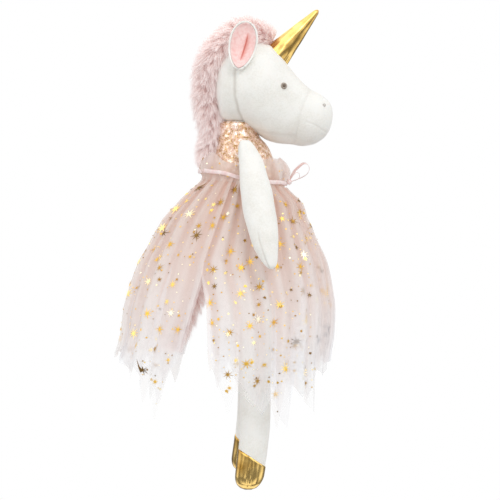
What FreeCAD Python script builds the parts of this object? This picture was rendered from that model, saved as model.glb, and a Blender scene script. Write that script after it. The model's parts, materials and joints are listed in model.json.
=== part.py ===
"""Plush unicorn doll in a tulle dress, built from its sewn pieces.

Frame: millimetres, +Z up along the doll's height, the doll faces +X and its right side is -Y.
The origin is the middle of the waist, where a hand or a doll stand's clip holds it.
"""

import FreeCAD, Part
import math
import os

from FreeCAD import Matrix, Vector

# Fabric and fit
CLOTH = 1.5          # thickness of the short-pile plush
NET = 1.4            # thickness that one gathered tulle layer fills
STITCH = 0.6         # radius of a ring of strong sewing thread
BIG = 600.0          # half size of a cutting block
OVAL_POINTS = 12     # points that a smooth ellipse runs through
BANDS = 3            # steps from one row of a table to the next

# Joint centres
NECK = Vector(-7, 0, 60)
SHOULDER = Vector(3, 41, 31)
HIP = Vector(12, 20, -124)
EAR = Vector(-6, 34.5, 119)

# Head and neck
NECK_BALL = 15.5
NECK_SOCKET = 18.2
EYE_RADIUS = 3.5
EYE_SUNK = 1.2       # an eye's ball centre lies this far inside the cloth
EYE_STEM = 1.25      # radius of an eye's stem
EYE_STEM_LONG = 11.0
EYE_STEM_OUT = 0.8   # from the cloth to the stem's outer end
EYE_SPOT = Vector(40.7, 31.2, 98.5)
EYE_LOOKS = Vector(0.2, 0.95, 0.24)
WASHER_RADIUS = 6.0
WASHER_THICK = 1.2
WASHER_DEEP = 5.2    # from the cloth to the washer's inner face
HORN_BASE = Vector(35.2, 0, 132.8)
HORN_TIP = Vector(77.0, 0, 178.6)
HORN_RADIUS = 14.0
HORN_TIP_RADIUS = 2.2
HORN_SUNK = 14.0     # length of the cone that is trimmed off inside the head
EAR_SIZE = Vector(14, 9, 23)
EAR_LEAN = 12.0      # degrees forward
EAR_STANDS = Vector(4.8, 0.5, 22.6)   # from an ear's hinge to the middle of its egg
EAR_CLOTH = 2.0      # thickness of an ear's plush back
EAR_BOTH = 3.6       # thickness of the back and the lining together
MUZZLE_LINE = [(68, 110), (60, 82), (55, 62), (52.5, 30)]
CHIN_LINE = [(-10, 61), (9, 52.6), (34, 48), (54, 45), (51, 20), (-10, 20)]
NAPE_X = -10.0

# Limbs
ARM_BALL = 9.3
ARM_THIN = 0.86      # an arm is this much thinner than it is wide
LEG_BALL = 15.0
LEG_SPLAY = {"right": 5.0, "left": 14.0}
CUFF_BACK = Vector(-20, 0, -281)
CUFF_FRONT = Vector(45, 0, -310)
ARM_SEAM_RADIUS = 4.5
HIP_SEAM_RADIUS = 6.0
TAIL_CORE_TOP = Vector(-42, 0, -84)
TAIL_CORE_WAY = Vector(-0.4, 0, -1)
TAIL_CORE_RADIUS = 3.0
TAIL_CORE_LONG = 60.0

# Dress
WAIST_SLOPE = -0.17  # the ribbon runs down towards the front
RIBBON_HIGH = 5.0
RIBBON_THICK = 0.9
RIBBON_INSIDE = 0.6  # from the ruffle's outline in to the ribbon's outer face
RUFFLE_TOP = 25.0
BODICE_GROW = 1.2    # the bodice lies this far outside the body
MANE_END = 19.0      # height of the mane's end over the ribbon's middle
KNOT = Vector(46.7, 0, -7)
KNOT_RADIUS = 4.2
LOOP_RADIUS = 8.5
LOOP_THICK = 2.2
LOOP_REACH = Vector(9, 9, 11)
LOOP_ROLL = 45.0
LOOP_TURN = -38.0

# Body of the torso: height, middle, half depth, half width
TORSO = [(56, -7, 14.5, 14.5), (50, -7, 15, 15), (45, -6.5, 17.5, 16.5), (40, -5.5, 23, 21.5),
         (30, -3.5, 28.5, 25.5), (15, -2.5, 32.5, 27.2), (0, -1, 36, 29.8), (-20, 1, 38, 32.2),
         (-45, 3.5, 38.5, 36), (-70, 6, 36.5, 36), (-90, 8.5, 31, 31), (-101, 10, 23, 25),
         (-106, 10.5, 12, 14)]

# Head, from the back to the nose: x, lowest, highest, half width
HEAD = [(-31, 86, 103, 7), (-29.5, 79, 111, 14), (-25, 64, 122, 25), (-16, 59.5, 133, 33),
        (-4, 57.5, 141, 38), (10, 50.5, 144, 40), (24, 42.2, 142, 39), (36, 39.2, 131.5, 35.5),
        (48, 38.4, 116.5, 31.5), (60, 37, 103, 29), (70, 38, 94.5, 27.5), (80, 42.5, 89.3, 24),
        (88, 50, 83, 16), (91.7, 61, 76, 7)]

# Arm: height, middle, half width seen from the side, distance from the doll's middle
ARM = [(31, 3, 8.8, 41), (22, 5, 11.8, 44), (6, 8.4, 13.8, 49), (-12, 12.6, 15.7, 55),
       (-36, 16, 16.8, 62), (-58, 19.2, 15.8, 68.5), (-72, 21.8, 13.6, 72.5),
       (-84, 23.6, 9.8, 76), (-91, 23.9, 5, 78)]

# Leg: height, middle, half depth, half width
LEG = [(-124, 12, 14.3, 14.3), (-150, 12, 15.8, 15), (-200, 12.3, 16.4, 15.4), (-250, 12.1, 16.2, 15.2),
       (-284, 10, 15, 14.4), (-299, 8.4, 15.9, 14.8), (-311, 7, 16.8, 15), (-319, 7.2, 14.8, 13.4),
       (-323.5, 6.6, 10, 9), (-325, 6.6, 5.5, 5)]

# Skirt: height, middle, half depth, half width
SKIRT = [(12, -2.5, 41, 33.4), (0, -2.5, 44.5, 36), (-10, -5.5, 52.5, 38), (-23, -5, 66, 41),
         (-42, -9.5, 78.5, 46), (-67, -10.5, 91.5, 52.5), (-86, -12, 101, 58.5),
         (-111, -14.7, 108, 67), (-137, -16.7, 113, 76), (-162, -18.8, 114, 84),
         (-189, -24, 115.5, 90), (-262, -24, 114, 94)]
UNDER_GAP = 3.0      # from the star tulle to the plain tulle inside it
UNDER_LIFT = 8.0     # the plain tulle is this much shorter
HEM_BACK = [(-160, -240), (-139, -186), (-119, -170), (-107, -228), (-96, -205), (-86, -247),
            (-64, -174), (-43, -99)]
HEM_MAIN = [(-43, -99), (-39, -130), (-38, -181), (-31, -196), (-16, -238), (-8, -212), (5, -248),
            (16, -222), (37, -258), (50, -250), (58, -222), (76, -243), (82, -203), (91, -188),
            (110, -150)]
SKIRT_SPLIT_X = -12.0
RUFFLE = [(36, -4, 39, 30), (27, -4, 40, 30.3), (20, -3, 43, 31.3), (12, -2.5, 45.5, 33),
          (0, -2.5, 47, 35.2), (-8, -2.5, 47, 36), (-22, -2.5, 47, 36)]

# Mane: x, height, half thickness, half width, lean of the section from level
MANE_HEAD = [(29, 145, 4, 9, -100), (17, 152, 10, 14, -95), (0, 155, 13.5, 17, -82),
             (-17, 147, 13.5, 18, -55), (-31, 131, 13.5, 18, -34), (-38, 112, 12.5, 17, -12),
             (-39.5, 90, 11.5, 16, 0), (-36.5, 68, 11, 15, 4), (-35.5, 60, 9, 13, 4)]
MANE_BACK = [(-34, 56, 9, 12, 0), (-35, 45, 10.5, 14, 0), (-38, 30, 10, 14, 0), (-41, 16, 8, 12, 0),
             (-43, 9, 5, 8, 0)]
FUR_TAIL = [(-35, -72, 5, 7, -50), (-41, -82, 10, 11, -38), (-49, -100, 13, 13, -26),
            (-59, -125, 13.5, 14, -23), (-69, -150, 12, 13, -22), (-75, -166, 8, 9, -20),
            (-77, -174, 4, 5, -18)]


def oval(x, y, z, half_depth, half_width, lean=0.0):
    """A smooth ellipse about a point, level unless leaned about the Y axis."""
    turns = [2 * math.pi * step / OVAL_POINTS for step in range(OVAL_POINTS)]
    points = [Vector(half_depth * math.cos(turn), half_width * math.sin(turn), 0) for turn in turns]
    curve = Part.BSplineCurve()
    curve.interpolate(Points=points, PeriodicFlag=True)
    edge = curve.toShape()
    edge.Placement = FreeCAD.Placement(Vector(x, y, z), FreeCAD.Rotation(Vector(0, 1, 0), -lean))
    return Part.Wire([edge])


def loft(ovals):
    """A closed solid through a row of ellipses, straight from each to the next."""
    return Part.makeLoft(ovals, True, True)


def spread(places, values):
    """Values at even steps between places, on cubic pieces that never overshoot."""
    gaps = [after - before for before, after in zip(places, places[1:])]
    rises = [(after - before) / gap for before, after, gap in zip(values, values[1:], gaps)]
    middle = [2 * a * b / (a + b) if a * b > 0 else 0.0 for a, b in zip(rises, rises[1:])]
    slopes = [rises[0]] + middle + [rises[-1]]
    result = []
    for place, gap in enumerate(gaps):
        start, end = values[place], values[place + 1]
        for t in [step / BANDS for step in range(BANDS)]:
            bend = gap * t * (1 - t) * (slopes[place] * (1 - t) - slopes[place + 1] * t)
            result.append(start + (end - start) * t * t * (3 - 2 * t) + bend)
    return result + [values[-1]]


def smooth(rows):
    """The same table with more rows between its own."""
    places = [0.0]
    for before, after in zip(rows, rows[1:]):
        places.append(places[-1] + math.dist(before, after))
    return list(zip(*[spread(places, column) for column in zip(*rows)]))


def shrink(level, rows, inset):
    """A height moved towards the middle, so that both ends come in by inset."""
    middle = (rows[0][0] + rows[-1][0]) / 2
    return middle + (level - middle) * (1 - 2 * inset / abs(rows[0][0] - rows[-1][0]))


def stack(rows, inset=0.0, side=0.0):
    """A solid through level ellipses, made smaller all round by inset."""
    return loft([oval(x, side, shrink(z, rows, inset), depth - inset, width - inset)
                 for z, x, depth, width in smooth(rows)])


def ball(centre, radius):
    """A round ball."""
    return Part.makeSphere(radius, centre)


def ring(centre, radius, axis):
    """A ring of sewing thread."""
    return Part.makeTorus(radius, STITCH, centre, axis)


def block(outline):
    """A block across the whole doll over an outline of (x, z) points."""
    points = [Vector(x, -BIG, z) for x, z in outline]
    face = Part.Face(Part.makePolygon(points + points[:1]))
    return face.extrude(Vector(0, 2 * BIG, 0))


def half(side):
    """Everything on one side of the doll's middle plane."""
    y = -BIG if side == "right" else 0.0
    return Part.makeBox(2 * BIG, BIG, 2 * BIG, Vector(-BIG, y, -BIG))


def sided(point, side):
    """A point given for the left side, moved to the side asked for."""
    return Vector(point.x, point.y if side == "left" else -point.y, point.z)


def mirror(shape, side):
    """A shape made on the left, moved to the side asked for."""
    return shape if side == "left" else shape.mirror(Vector(0, 0, 0), Vector(0, 1, 0))


def torso(inset=0.0):
    """The stuffed body, with the ball of its neck stub."""
    return stack(TORSO, inset).fuse(ball(NECK, NECK_BALL - inset)).removeSplitter()


def head(inset=0.0):
    """The head with its neck pocket."""
    return loft([oval(shrink(x, HEAD, inset), 0, (low + high) / 2, (high - low) / 2 - inset,
                      width - inset, -90) for x, low, high, width in smooth(HEAD)])


def head_shell():
    """The head's skin of plush."""
    return head().cut(head(CLOTH)).cut(ball(NECK, NECK_SOCKET))


def muzzle_block():
    """In front of the sloping seam round the muzzle."""
    return block(MUZZLE_LINE + [(BIG, MUZZLE_LINE[-1][1]), (BIG, MUZZLE_LINE[0][1])])


def chin_block():
    """Below the seam along the jaw, behind the muzzle."""
    return block(CHIN_LINE)


def nape_block():
    """Behind the seam at the back of the head."""
    return block([(-BIG, BIG), (NAPE_X, BIG), (NAPE_X, 0), (-BIG, 0)])


def head_panels():
    """The sewn panels of the head."""
    shell = head_shell().cut(eye_holes())
    front = shell.common(muzzle_block())
    rest = shell.cut(muzzle_block())
    nape = rest.common(nape_block())
    rest = rest.cut(nape_block())
    chin = rest.common(chin_block())
    cheeks = rest.cut(chin_block())
    save("muzzle_panel", front)
    save("nape_panel", nape)
    save("chin_gusset", chin)
    for side in ("right", "left"):
        save("cheek_panel_" + side, cheeks.common(half(side)))
    pocket = ball(NECK, NECK_SOCKET + CLOTH)
    filling = head(CLOTH).cut(pocket).cut(eye_holes(EYE_STEM))
    for side in ("right", "left"):
        filling = filling.cut(eye_washer(side, 0.3, EYE_STEM_LONG))
    save("head_stuffing", largest(filling))


def eye_axis(side):
    """The way an eye looks, out of the head."""
    out = sided(EYE_LOOKS, side)
    return out.normalize()


def eye_holes(extra=0.1):
    """Room for both eyes' stems."""
    holes = []
    for side in ("right", "left"):
        out = eye_axis(side)
        start = sided(EYE_SPOT, side) - out * EYE_STEM_LONG
        holes.append(Part.makeCylinder(EYE_STEM + extra, 2 * EYE_STEM_LONG, start, out))
    return Part.makeCompound(holes)


def eye_washer(side, grow=0.0, thick=WASHER_THICK):
    """The washer that locks an eye, or the room for it."""
    out = eye_axis(side)
    back = sided(EYE_SPOT, side) - out * (WASHER_DEEP + grow)
    return Part.makeCylinder(WASHER_RADIUS + grow, thick, back, out)


def eyes():
    """Safety eyes: a domed button on a stem, locked by a washer inside the head."""
    for side in ("right", "left"):
        out = eye_axis(side)
        spot = sided(EYE_SPOT, side)
        dome = ball(spot - out * EYE_SUNK, EYE_RADIUS)
        back = Part.makeCylinder(2 * EYE_RADIUS, 2 * EYE_RADIUS, spot + out * 0.2, out * -1)
        stem = Part.makeCylinder(EYE_STEM, EYE_STEM_LONG, spot + out * EYE_STEM_OUT, out * -1)
        save("eye_" + side, dome.cut(back).fuse(stem).cut(head().cut(eye_holes())))
        save("eye_washer_" + side, eye_washer(side).cut(stem))


def horn_cone(inset=0.0):
    """A cone that starts inside the head and ends in a round tip."""
    way = (HORN_TIP - HORN_BASE).normalize()
    root = HORN_BASE - way * HORN_SUNK
    tall = (HORN_TIP - root).Length - HORN_TIP_RADIUS
    slope = (HORN_RADIUS - HORN_TIP_RADIUS) / (tall - HORN_SUNK)
    low = HORN_RADIUS + slope * HORN_SUNK - inset
    cone = Part.makeCone(low, HORN_TIP_RADIUS - inset / 2, tall, root, way)
    tip = ball(HORN_TIP - way * HORN_TIP_RADIUS, HORN_TIP_RADIUS - inset / 2)
    return cone.fuse(tip).removeSplitter()


def horn():
    """The foil cone and its stuffing, trimmed to the head."""
    outside = horn_cone().cut(head())
    inside = horn_cone(CLOTH).cut(head())
    save("horn_shell", largest(outside.cut(inside)))
    save("horn_stuffing", largest(inside))


def largest(shape):
    """The biggest solid of a cut."""
    return max(shape.Solids, key=lambda solid: solid.Volume)


def ear_egg(inset):
    """An egg standing over the ear's hinge line, leaned forward."""
    egg = ball(Vector(0, 0, 0), 1.0).toNurbs()
    grow = Matrix()
    grow.scale(EAR_SIZE.x - inset, EAR_SIZE.y - inset, EAR_SIZE.z - inset)
    egg = egg.transformGeometry(grow)
    egg.rotate(Vector(0, 0, 0), Vector(0, 1, 0), EAR_LEAN)
    egg.translate(EAR + EAR_STANDS)
    return egg


def ears():
    """Each ear is a cupped leaf of plush with a velour lining, open to the side."""
    front = Part.makeBox(2 * BIG, BIG, 2 * BIG, Vector(-BIG, EAR.y - 0.5, -BIG))
    keep_off = head(-0.6)
    for side in ("right", "left"):
        outer = ear_egg(0).cut(ear_egg(EAR_CLOTH)).cut(front).cut(keep_off)
        lining = ear_egg(EAR_CLOTH).cut(ear_egg(EAR_BOTH)).cut(front).cut(keep_off)
        save("ear_outer_" + side, mirror(largest(outer), side))
        save("ear_lining_" + side, mirror(largest(lining), side))


def fur(rows):
    """A soft roll of fur along the middle of the doll."""
    return loft([oval(x, 0, z, thick, wide, lean) for x, z, thick, wide, lean in smooth(rows)])


def mane():
    """The mane in two rolls: one moves with the head and one stays on the back."""
    keep_off = head().fuse(ball(NECK, NECK_SOCKET))
    crown = fur(MANE_HEAD).cut(keep_off).cut(horn_cone())
    for side in ("right", "left"):
        crown = crown.cut(mirror(ear_egg(-1.0), side))
    save("mane_head", largest(crown))
    save("mane_back", largest(fur(MANE_BACK).cut(bodice_outside()).cut(below_waist(MANE_END))))


def bodice_outside():
    """The outline of the bodice."""
    return stack(TORSO[2:8], -BODICE_GROW)


def below_waist(rise=0.0, deep=BIG):
    """Under the sloping line of the waist ribbon."""
    left, right = -BIG, BIG
    return block([(left, left * WAIST_SLOPE + rise), (right, right * WAIST_SLOPE + rise),
                  (right, right * WAIST_SLOPE + rise - deep), (left, left * WAIST_SLOPE + rise - deep)])


def body():
    """The stuffed torso and the printed bodice over its chest."""
    save("torso_shell", torso().cut(torso(CLOTH)))
    save("torso_stuffing", torso(CLOTH))
    save("bodice", bodice_outside().cut(torso()).cut(below_waist()))
    save("neck_seam", ring(NECK, (NECK_BALL + NECK_SOCKET) / 2, Vector(0, 0, 1)))


def sleeve(rows, gap, thick):
    """A layer of cloth, gap inside an outline, open at both ends once it is trimmed."""
    return stack(rows, gap).cut(stack(rows, gap + thick))


def ribbon():
    """The satin ribbon round the waist and its bow in front."""
    band = sleeve(RUFFLE, RIBBON_INSIDE, RIBBON_THICK)
    band = band.common(below_waist(RIBBON_HIGH / 2, RIBBON_HIGH))
    knot = ball(KNOT, KNOT_RADIUS).cut(frill()).cut(skirt_shell(0))
    save("waist_ribbon", band.cut(ball(KNOT, KNOT_RADIUS)))
    save("bow_knot", largest(knot))
    for side in ("right", "left"):
        save("bow_loop_" + side, mirror(bow_loop(), side))


def bow_loop():
    """A flattened loop of ribbon that leans out from the knot."""
    loop = Part.makeTorus(LOOP_RADIUS, LOOP_THICK, Vector(0, 0, 0), Vector(1, 0, 0))
    squeeze = Matrix()
    squeeze.scale(1.0, 1.35, 0.7)
    loop = loop.toNurbs().transformGeometry(squeeze)
    loop.rotate(Vector(0, 0, 0), Vector(1, 0, 0), LOOP_ROLL)
    loop.rotate(Vector(0, 0, 0), Vector(0, 0, 1), LOOP_TURN)
    loop.translate(KNOT + LOOP_REACH)
    return largest(loop.cut(ball(KNOT, KNOT_RADIUS + 0.2)))


def frill():
    """The skirt's own top edge, standing up over the ribbon."""
    low = below_waist(RIBBON_HIGH / 2)
    high = block([(-BIG, RUFFLE_TOP), (BIG, RUFFLE_TOP), (BIG, BIG), (-BIG, BIG)])
    return sleeve(RUFFLE, 0, NET).cut(low).cut(high)


def skirt_shell(gap):
    """One layer of tulle, gap inside the skirt's outline."""
    return sleeve(SKIRT, gap, NET).common(below_waist(-RIBBON_HIGH / 2))


def back_part(shell, lift):
    """The stretch of a tulle layer behind the split, its hem lifted by lift."""
    edge = SKIRT_SPLIT_X - 0.5
    return shell.common(block([(x, z + lift) for x, z in HEM_BACK]
                              + [(edge, 2), (edge, BIG), (HEM_BACK[0][0], BIG)]))


def side_part(shell, lift, side):
    """The stretch of a tulle layer in front of the split on one side."""
    edge = SKIRT_SPLIT_X + 0.5
    outline = [(x + 1.0, z + lift) for x, z in HEM_MAIN]
    outline += [(HEM_MAIN[-1][0], BIG), (edge, BIG), (edge, 2)]
    return shell.common(block(outline)).common(half(side))


def skirt():
    """Star tulle over plain tulle, both with pointed hems and a split behind each side."""
    star = skirt_shell(0)
    plain = skirt_shell(UNDER_GAP)
    save("star_tulle_back", back_part(star, 0))
    save("plain_tulle_back", back_part(plain, UNDER_LIFT))
    for side in ("right", "left"):
        save("star_tulle_" + side, side_part(star, 0, side))
        save("plain_tulle_" + side, side_part(plain, UNDER_LIFT, side))
    save("waist_ruffle", frill())


def arm_solid(inset=0.0):
    """A left arm, tapering to its shoulder."""
    ovals = [oval(x, y, shrink(z, ARM, inset), wide - inset, wide * ARM_THIN - inset)
             for z, x, wide, y in smooth(ARM)]
    return loft(ovals).fuse(ball(SHOULDER, ARM_BALL - inset)).removeSplitter()


def arms():
    """Both arms, hung from rings of thread at the shoulders."""
    for side in ("right", "left"):
        save("arm_shell_" + side, mirror(arm_solid().cut(arm_solid(CLOTH)), side))
        save("arm_stuffing_" + side, mirror(arm_solid(CLOTH), side))
        middle = SHOULDER - Vector(0, ARM_BALL + 1.1, 0)
        save("shoulder_seam_" + side, mirror(ring(middle, ARM_SEAM_RADIUS, Vector(0, 1, 0)), side))


def leg_solid(inset=0.0):
    """A left leg with its hoof, straight down from its hip."""
    return stack(LEG, inset, HIP.y).fuse(ball(HIP, LEG_BALL - inset)).removeSplitter()


def hoof_block():
    """Below the slanting edge of the gold hoof."""
    way = CUFF_FRONT - CUFF_BACK
    back, front = CUFF_BACK - way, CUFF_FRONT + way
    return block([(back.x, back.z), (front.x, front.z), (front.x, -BIG), (back.x, -BIG)])


def splayed(shape, side):
    """A straight left leg swung out at its hip, on the side asked for."""
    shape = shape.copy()
    shape.rotate(HIP, Vector(1, 0, 0), LEG_SPLAY[side])
    return mirror(shape, side)


def legs():
    """Both legs, hung from rings of thread at the hips, each ending in a foil hoof."""
    shell = leg_solid().cut(leg_solid(CLOTH))
    seam = ring(HIP + Vector(0, 0, LEG_BALL + STITCH), HIP_SEAM_RADIUS, Vector(0, 0, 1))
    for side in ("right", "left"):
        save("leg_shell_" + side, splayed(shell.cut(hoof_block()), side))
        save("hoof_" + side, splayed(shell.common(hoof_block()), side))
        save("leg_stuffing_" + side, splayed(leg_solid(CLOTH), side))
        save("hip_seam_" + side, mirror(seam, side))


def tail():
    """The fur tail on its sewn cloth core."""
    outside = fur(FUR_TAIL)
    core = Part.makeCylinder(TAIL_CORE_RADIUS, TAIL_CORE_LONG, TAIL_CORE_TOP, TAIL_CORE_WAY)
    save("tail_core", core)
    save("tail_fur", outside.cut(core).cut(torso(-0.6)))


def save(name, shape):
    """Write a node and say what it is."""
    shape = shape.Solids[0] if len(shape.Solids) == 1 else shape
    if not shape.isValid():
        print("NOT VALID", name)
    box = shape.optimalBoundingBox(False, False)
    print("%-22s solids %d volume %9.1f x %6.1f..%6.1f y %6.1f..%6.1f z %6.1f..%6.1f" % (
        name, len(shape.Solids), shape.Volume, box.XMin, box.XMax, box.YMin, box.YMax,
        box.ZMin, box.ZMax))
    shape.exportStep("parts/" + name + ".step")


def main():
    """Every node of the doll."""
    os.makedirs("parts", exist_ok=True)
    body()
    skirt()
    ribbon()
    head_panels()
    eyes()
    horn()
    ears()
    mane()
    arms()
    legs()
    tail()


main()
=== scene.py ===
"""Plush unicorn in a star tulle dress: the looks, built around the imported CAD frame.

Metres, +Z up, the doll faces +X and its right side is -Y. The origin is the middle of the waist.
Tables of a shape's rows are in millimetres, as a pattern maker writes them, and MM turns them to metres.
"""

import json
import logging
import math
from dataclasses import dataclass
from enum import Enum

import bpy
import numpy as np
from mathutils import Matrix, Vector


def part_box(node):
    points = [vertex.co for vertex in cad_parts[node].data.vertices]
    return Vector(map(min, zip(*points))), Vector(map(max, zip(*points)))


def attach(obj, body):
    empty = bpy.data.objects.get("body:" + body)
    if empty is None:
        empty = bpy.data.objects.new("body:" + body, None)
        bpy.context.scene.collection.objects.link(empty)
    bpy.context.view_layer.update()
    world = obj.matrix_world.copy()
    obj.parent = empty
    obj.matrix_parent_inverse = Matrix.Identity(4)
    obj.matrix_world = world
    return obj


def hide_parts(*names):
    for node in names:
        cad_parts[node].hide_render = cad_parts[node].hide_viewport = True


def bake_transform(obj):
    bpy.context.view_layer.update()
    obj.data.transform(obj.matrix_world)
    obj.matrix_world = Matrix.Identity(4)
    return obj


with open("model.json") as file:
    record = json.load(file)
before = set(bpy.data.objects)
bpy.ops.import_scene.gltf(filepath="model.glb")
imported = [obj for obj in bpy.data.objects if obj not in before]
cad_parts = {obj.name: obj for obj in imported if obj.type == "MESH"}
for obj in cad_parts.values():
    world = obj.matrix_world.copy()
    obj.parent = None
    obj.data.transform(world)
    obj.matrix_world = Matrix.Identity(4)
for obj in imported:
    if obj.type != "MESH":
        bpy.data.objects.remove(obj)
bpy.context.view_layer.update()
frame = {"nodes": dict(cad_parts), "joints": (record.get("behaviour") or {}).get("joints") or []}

Grid = np.ndarray
MM = 0.001
LOG = logging.getLogger("unicorn")


class Side(Enum):
    """The doll's own right and left."""

    RIGHT = -1
    LEFT = 1

    @property
    def word(self) -> str:
        """The side's name in a piece's name."""
        return self.name.lower()


# ---------------------------------------------------------------- numbers and grids


def joint_place(name: str) -> np.ndarray:
    """Where a joint turns, in metres."""
    return np.array(next(j["pos_m"] for j in frame["joints"] if j["name"] == name), float)


def through(knots: Grid, values: Grid, at: Grid) -> Grid:
    """A monotone cubic curve through values at knots, read at other places.

    Each piece is the cubic whose end slopes are the harmonic means of the rises beside them,
    so that the curve never overshoots its points.

    Args:
        knots: Rising places of the points.
        values: One value at each.
        at: Places to read.

    Returns:
        The curve's values.
    """
    gaps = np.diff(knots)
    rises = np.diff(values) / gaps
    joined = rises[:-1] * rises[1:]
    inner = np.where(joined > 0, 2 * joined / np.where(joined > 0, rises[:-1] + rises[1:], 1), 0)
    slopes = np.concatenate([rises[:1], inner, rises[-1:]])
    place = np.clip(np.searchsorted(knots, at, side="right") - 1, 0, len(gaps) - 1)
    gap, t = gaps[place], (at - knots[place]) / gaps[place]
    start, end = values[place], values[place + 1]
    bend = gap * t * (1 - t) * (slopes[place] * (1 - t) - slopes[place + 1] * t)
    return start + (end - start) * t * t * (3 - 2 * t) + bend


def rows_between(table: list[tuple[float, ...]], count: int) -> Grid:
    """A table's columns at many even steps along its rows.

    Args:
        table: Rows of numbers in millimetres.
        count: How many rows to give back.

    Returns:
        One array per column, in the table's own units.
    """
    rows = np.array(table, float)
    knots = np.concatenate([[0], np.cumsum(np.linalg.norm(np.diff(rows, axis=0), axis=1))])
    at = np.linspace(0, knots[-1], count)
    return np.array([through(knots, column, at) for column in rows.T])


def soft_step(low: float, high: float, value: Grid) -> Grid:
    """0 below low, 1 above high, and a smooth step between."""
    t = np.clip((value - low) / (high - low), 0, 1)
    return t * t * (3 - 2 * t)


def bump(distance: Grid, width: float) -> Grid:
    """1 at distance 0, falling off as a bell of that width."""
    return np.exp(-((distance / width) ** 2))


def lumps(points: Grid, size: float, seed: int, octaves: int = 3) -> Grid:
    """Soft random lumps: a sum of sine waves in random directions.

    Args:
        points: Any array of points, in metres.
        size: Length of the longest wave, in metres.
        seed: Which lumps.
        octaves: How many times the waves are halved.

    Returns:
        About -1 to 1 at each point.
    """
    rng = np.random.default_rng(seed)
    total = np.zeros(points.shape[:-1])
    for octave in range(octaves):
        ways = rng.normal(size=(6, 3))
        ways *= 2 * math.pi * 2**octave / size / np.linalg.norm(ways, axis=1, keepdims=True)
        waves = np.sin(points @ ways.T + rng.uniform(0, 2 * math.pi, 6))
        total += waves.sum(axis=-1) / 3.2 / 2**octave
    return total / 1.6


def normals(grid: Grid, wrap: bool = True) -> Grid:
    """Unit normals of a grid of points, from the cross product of its two directions."""
    wide = np.concatenate([grid[:, -1:], grid, grid[:, :1]], axis=1) if wrap else grid
    across = np.gradient(wide, axis=1)
    across = across[:, 1:-1] if wrap else across
    cross = np.cross(across, np.gradient(grid, axis=0))
    length = np.linalg.norm(cross, axis=-1, keepdims=True)
    return cross / np.maximum(length, 1e-12)


def outward(grid: Grid) -> Grid:
    """Normals of a closed tube, turned so that they point away from its middle line."""
    found = normals(grid)
    middle = grid.mean(axis=1, keepdims=True)
    return found * (1 if np.sum(found * (grid - middle)) > 0 else -1)


def swollen(grid: Grid, push: Grid) -> Grid:
    """A closed tube with each point moved out along its normal by its own push, in metres."""
    return grid + outward(grid) * push[..., None]


def ring_turns(count: int) -> Grid:
    """Even turns round a ring, in radians, as one row."""
    return np.linspace(0, 2 * math.pi, count, endpoint=False)[None, :]


def add_mesh(name: str, points: Grid, faces: Grid | list, smooth: bool = True) -> bpy.types.Object:
    """A mesh object at the origin.

    Args:
        name: The piece's name.
        points: Its corners, (n, 3), in metres.
        faces: Rows of corner numbers, or a list of such tables.
        smooth: Whether it is shaded smooth.

    Returns:
        The new object.
    """
    tables = faces if isinstance(faces, list) else [faces]
    sizes = np.concatenate([np.full(len(t), t.shape[1]) for t in tables])
    loops = np.concatenate([t.ravel() for t in tables]).astype(np.int32)
    mesh = bpy.data.meshes.new(name)
    mesh.vertices.add(len(points))
    mesh.vertices.foreach_set("co", np.ascontiguousarray(points, np.float32).ravel())
    mesh.loops.add(len(loops))
    mesh.loops.foreach_set("vertex_index", loops)
    mesh.polygons.add(len(sizes))
    starts = np.concatenate([[0], np.cumsum(sizes)[:-1]]).astype(np.int32)
    mesh.polygons.foreach_set("loop_start", starts)
    mesh.polygons.foreach_set("use_smooth", np.full(len(sizes), smooth))
    mesh.update(calc_edges=True)
    mesh.validate()
    piece = bpy.data.objects.new(name, mesh)
    bpy.context.scene.collection.objects.link(piece)
    return piece


def quads(rows: int, columns: int, wrap: bool) -> Grid:
    """The faces of a grid of points, closed round its columns if wrap is true."""
    row, column = np.meshgrid(np.arange(rows - 1), np.arange(columns - (not wrap)), indexing="ij")
    after = (column + 1) % columns
    corners = [row * columns + column, row * columns + after, (row + 1) * columns + after,
               (row + 1) * columns + column]
    return np.stack(corners, axis=-1).reshape(-1, 4)


def closed_form(name: str, grid: Grid) -> bpy.types.Object:
    """A closed mesh from rings of points, with a pole at the middle of each end ring.

    Args:
        name: The piece's name.
        grid: (rings, points round, 3).

    Returns:
        The new object, with its faces pointing outwards.
    """
    rows, columns = grid.shape[:2]
    points = np.concatenate([grid.reshape(-1, 3), [grid[0].mean(axis=0)], [grid[-1].mean(axis=0)]])
    ring = np.arange(columns)
    after = (ring + 1) % columns
    first = np.stack([np.full(columns, rows * columns), after, ring], axis=-1)
    base = (rows - 1) * columns
    last = np.stack([np.full(columns, rows * columns + 1), base + ring, base + after], axis=-1)
    body = quads(rows, columns, True)
    found = normals(grid)
    if np.sum(found * (grid - grid.mean(axis=(0, 1)))) <= 0:
        body, first, last = body[:, ::-1], first[:, ::-1], last[:, ::-1]
    return add_mesh(name, points, [body, first, last])


def note(piece: bpy.types.Object, name: str, values: Grid) -> None:
    """Keeps one number per point on a mesh for its material; poles get 0."""
    padded = np.zeros(len(piece.data.vertices), np.float32)
    padded[: values.size] = values.ravel()
    piece.data.attributes.new(name, "FLOAT", "POINT").data.foreach_set("value", padded)


def lay_uv(piece: bpy.types.Object, across: Grid, down: Grid) -> None:
    """A UV map from one pair of numbers per point."""
    pair = np.zeros((len(piece.data.vertices), 2), np.float32)
    pair[: across.size, 0] = across.ravel()
    pair[: down.size, 1] = down.ravel()
    loops = np.zeros(len(piece.data.loops), np.int32)
    piece.data.loops.foreach_get("vertex_index", loops)
    piece.data.uv_layers.new(name="UVMap").data.foreach_set("uv", pair[loops].ravel())


def thicken(piece: bpy.types.Object, thickness: float, offset: float = -1.0) -> None:
    """Gives a sheet its real thickness."""
    solid = piece.modifiers.new("thickness", "SOLIDIFY")
    solid.thickness = thickness
    solid.offset = offset
    solid.use_even_offset = False


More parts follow.
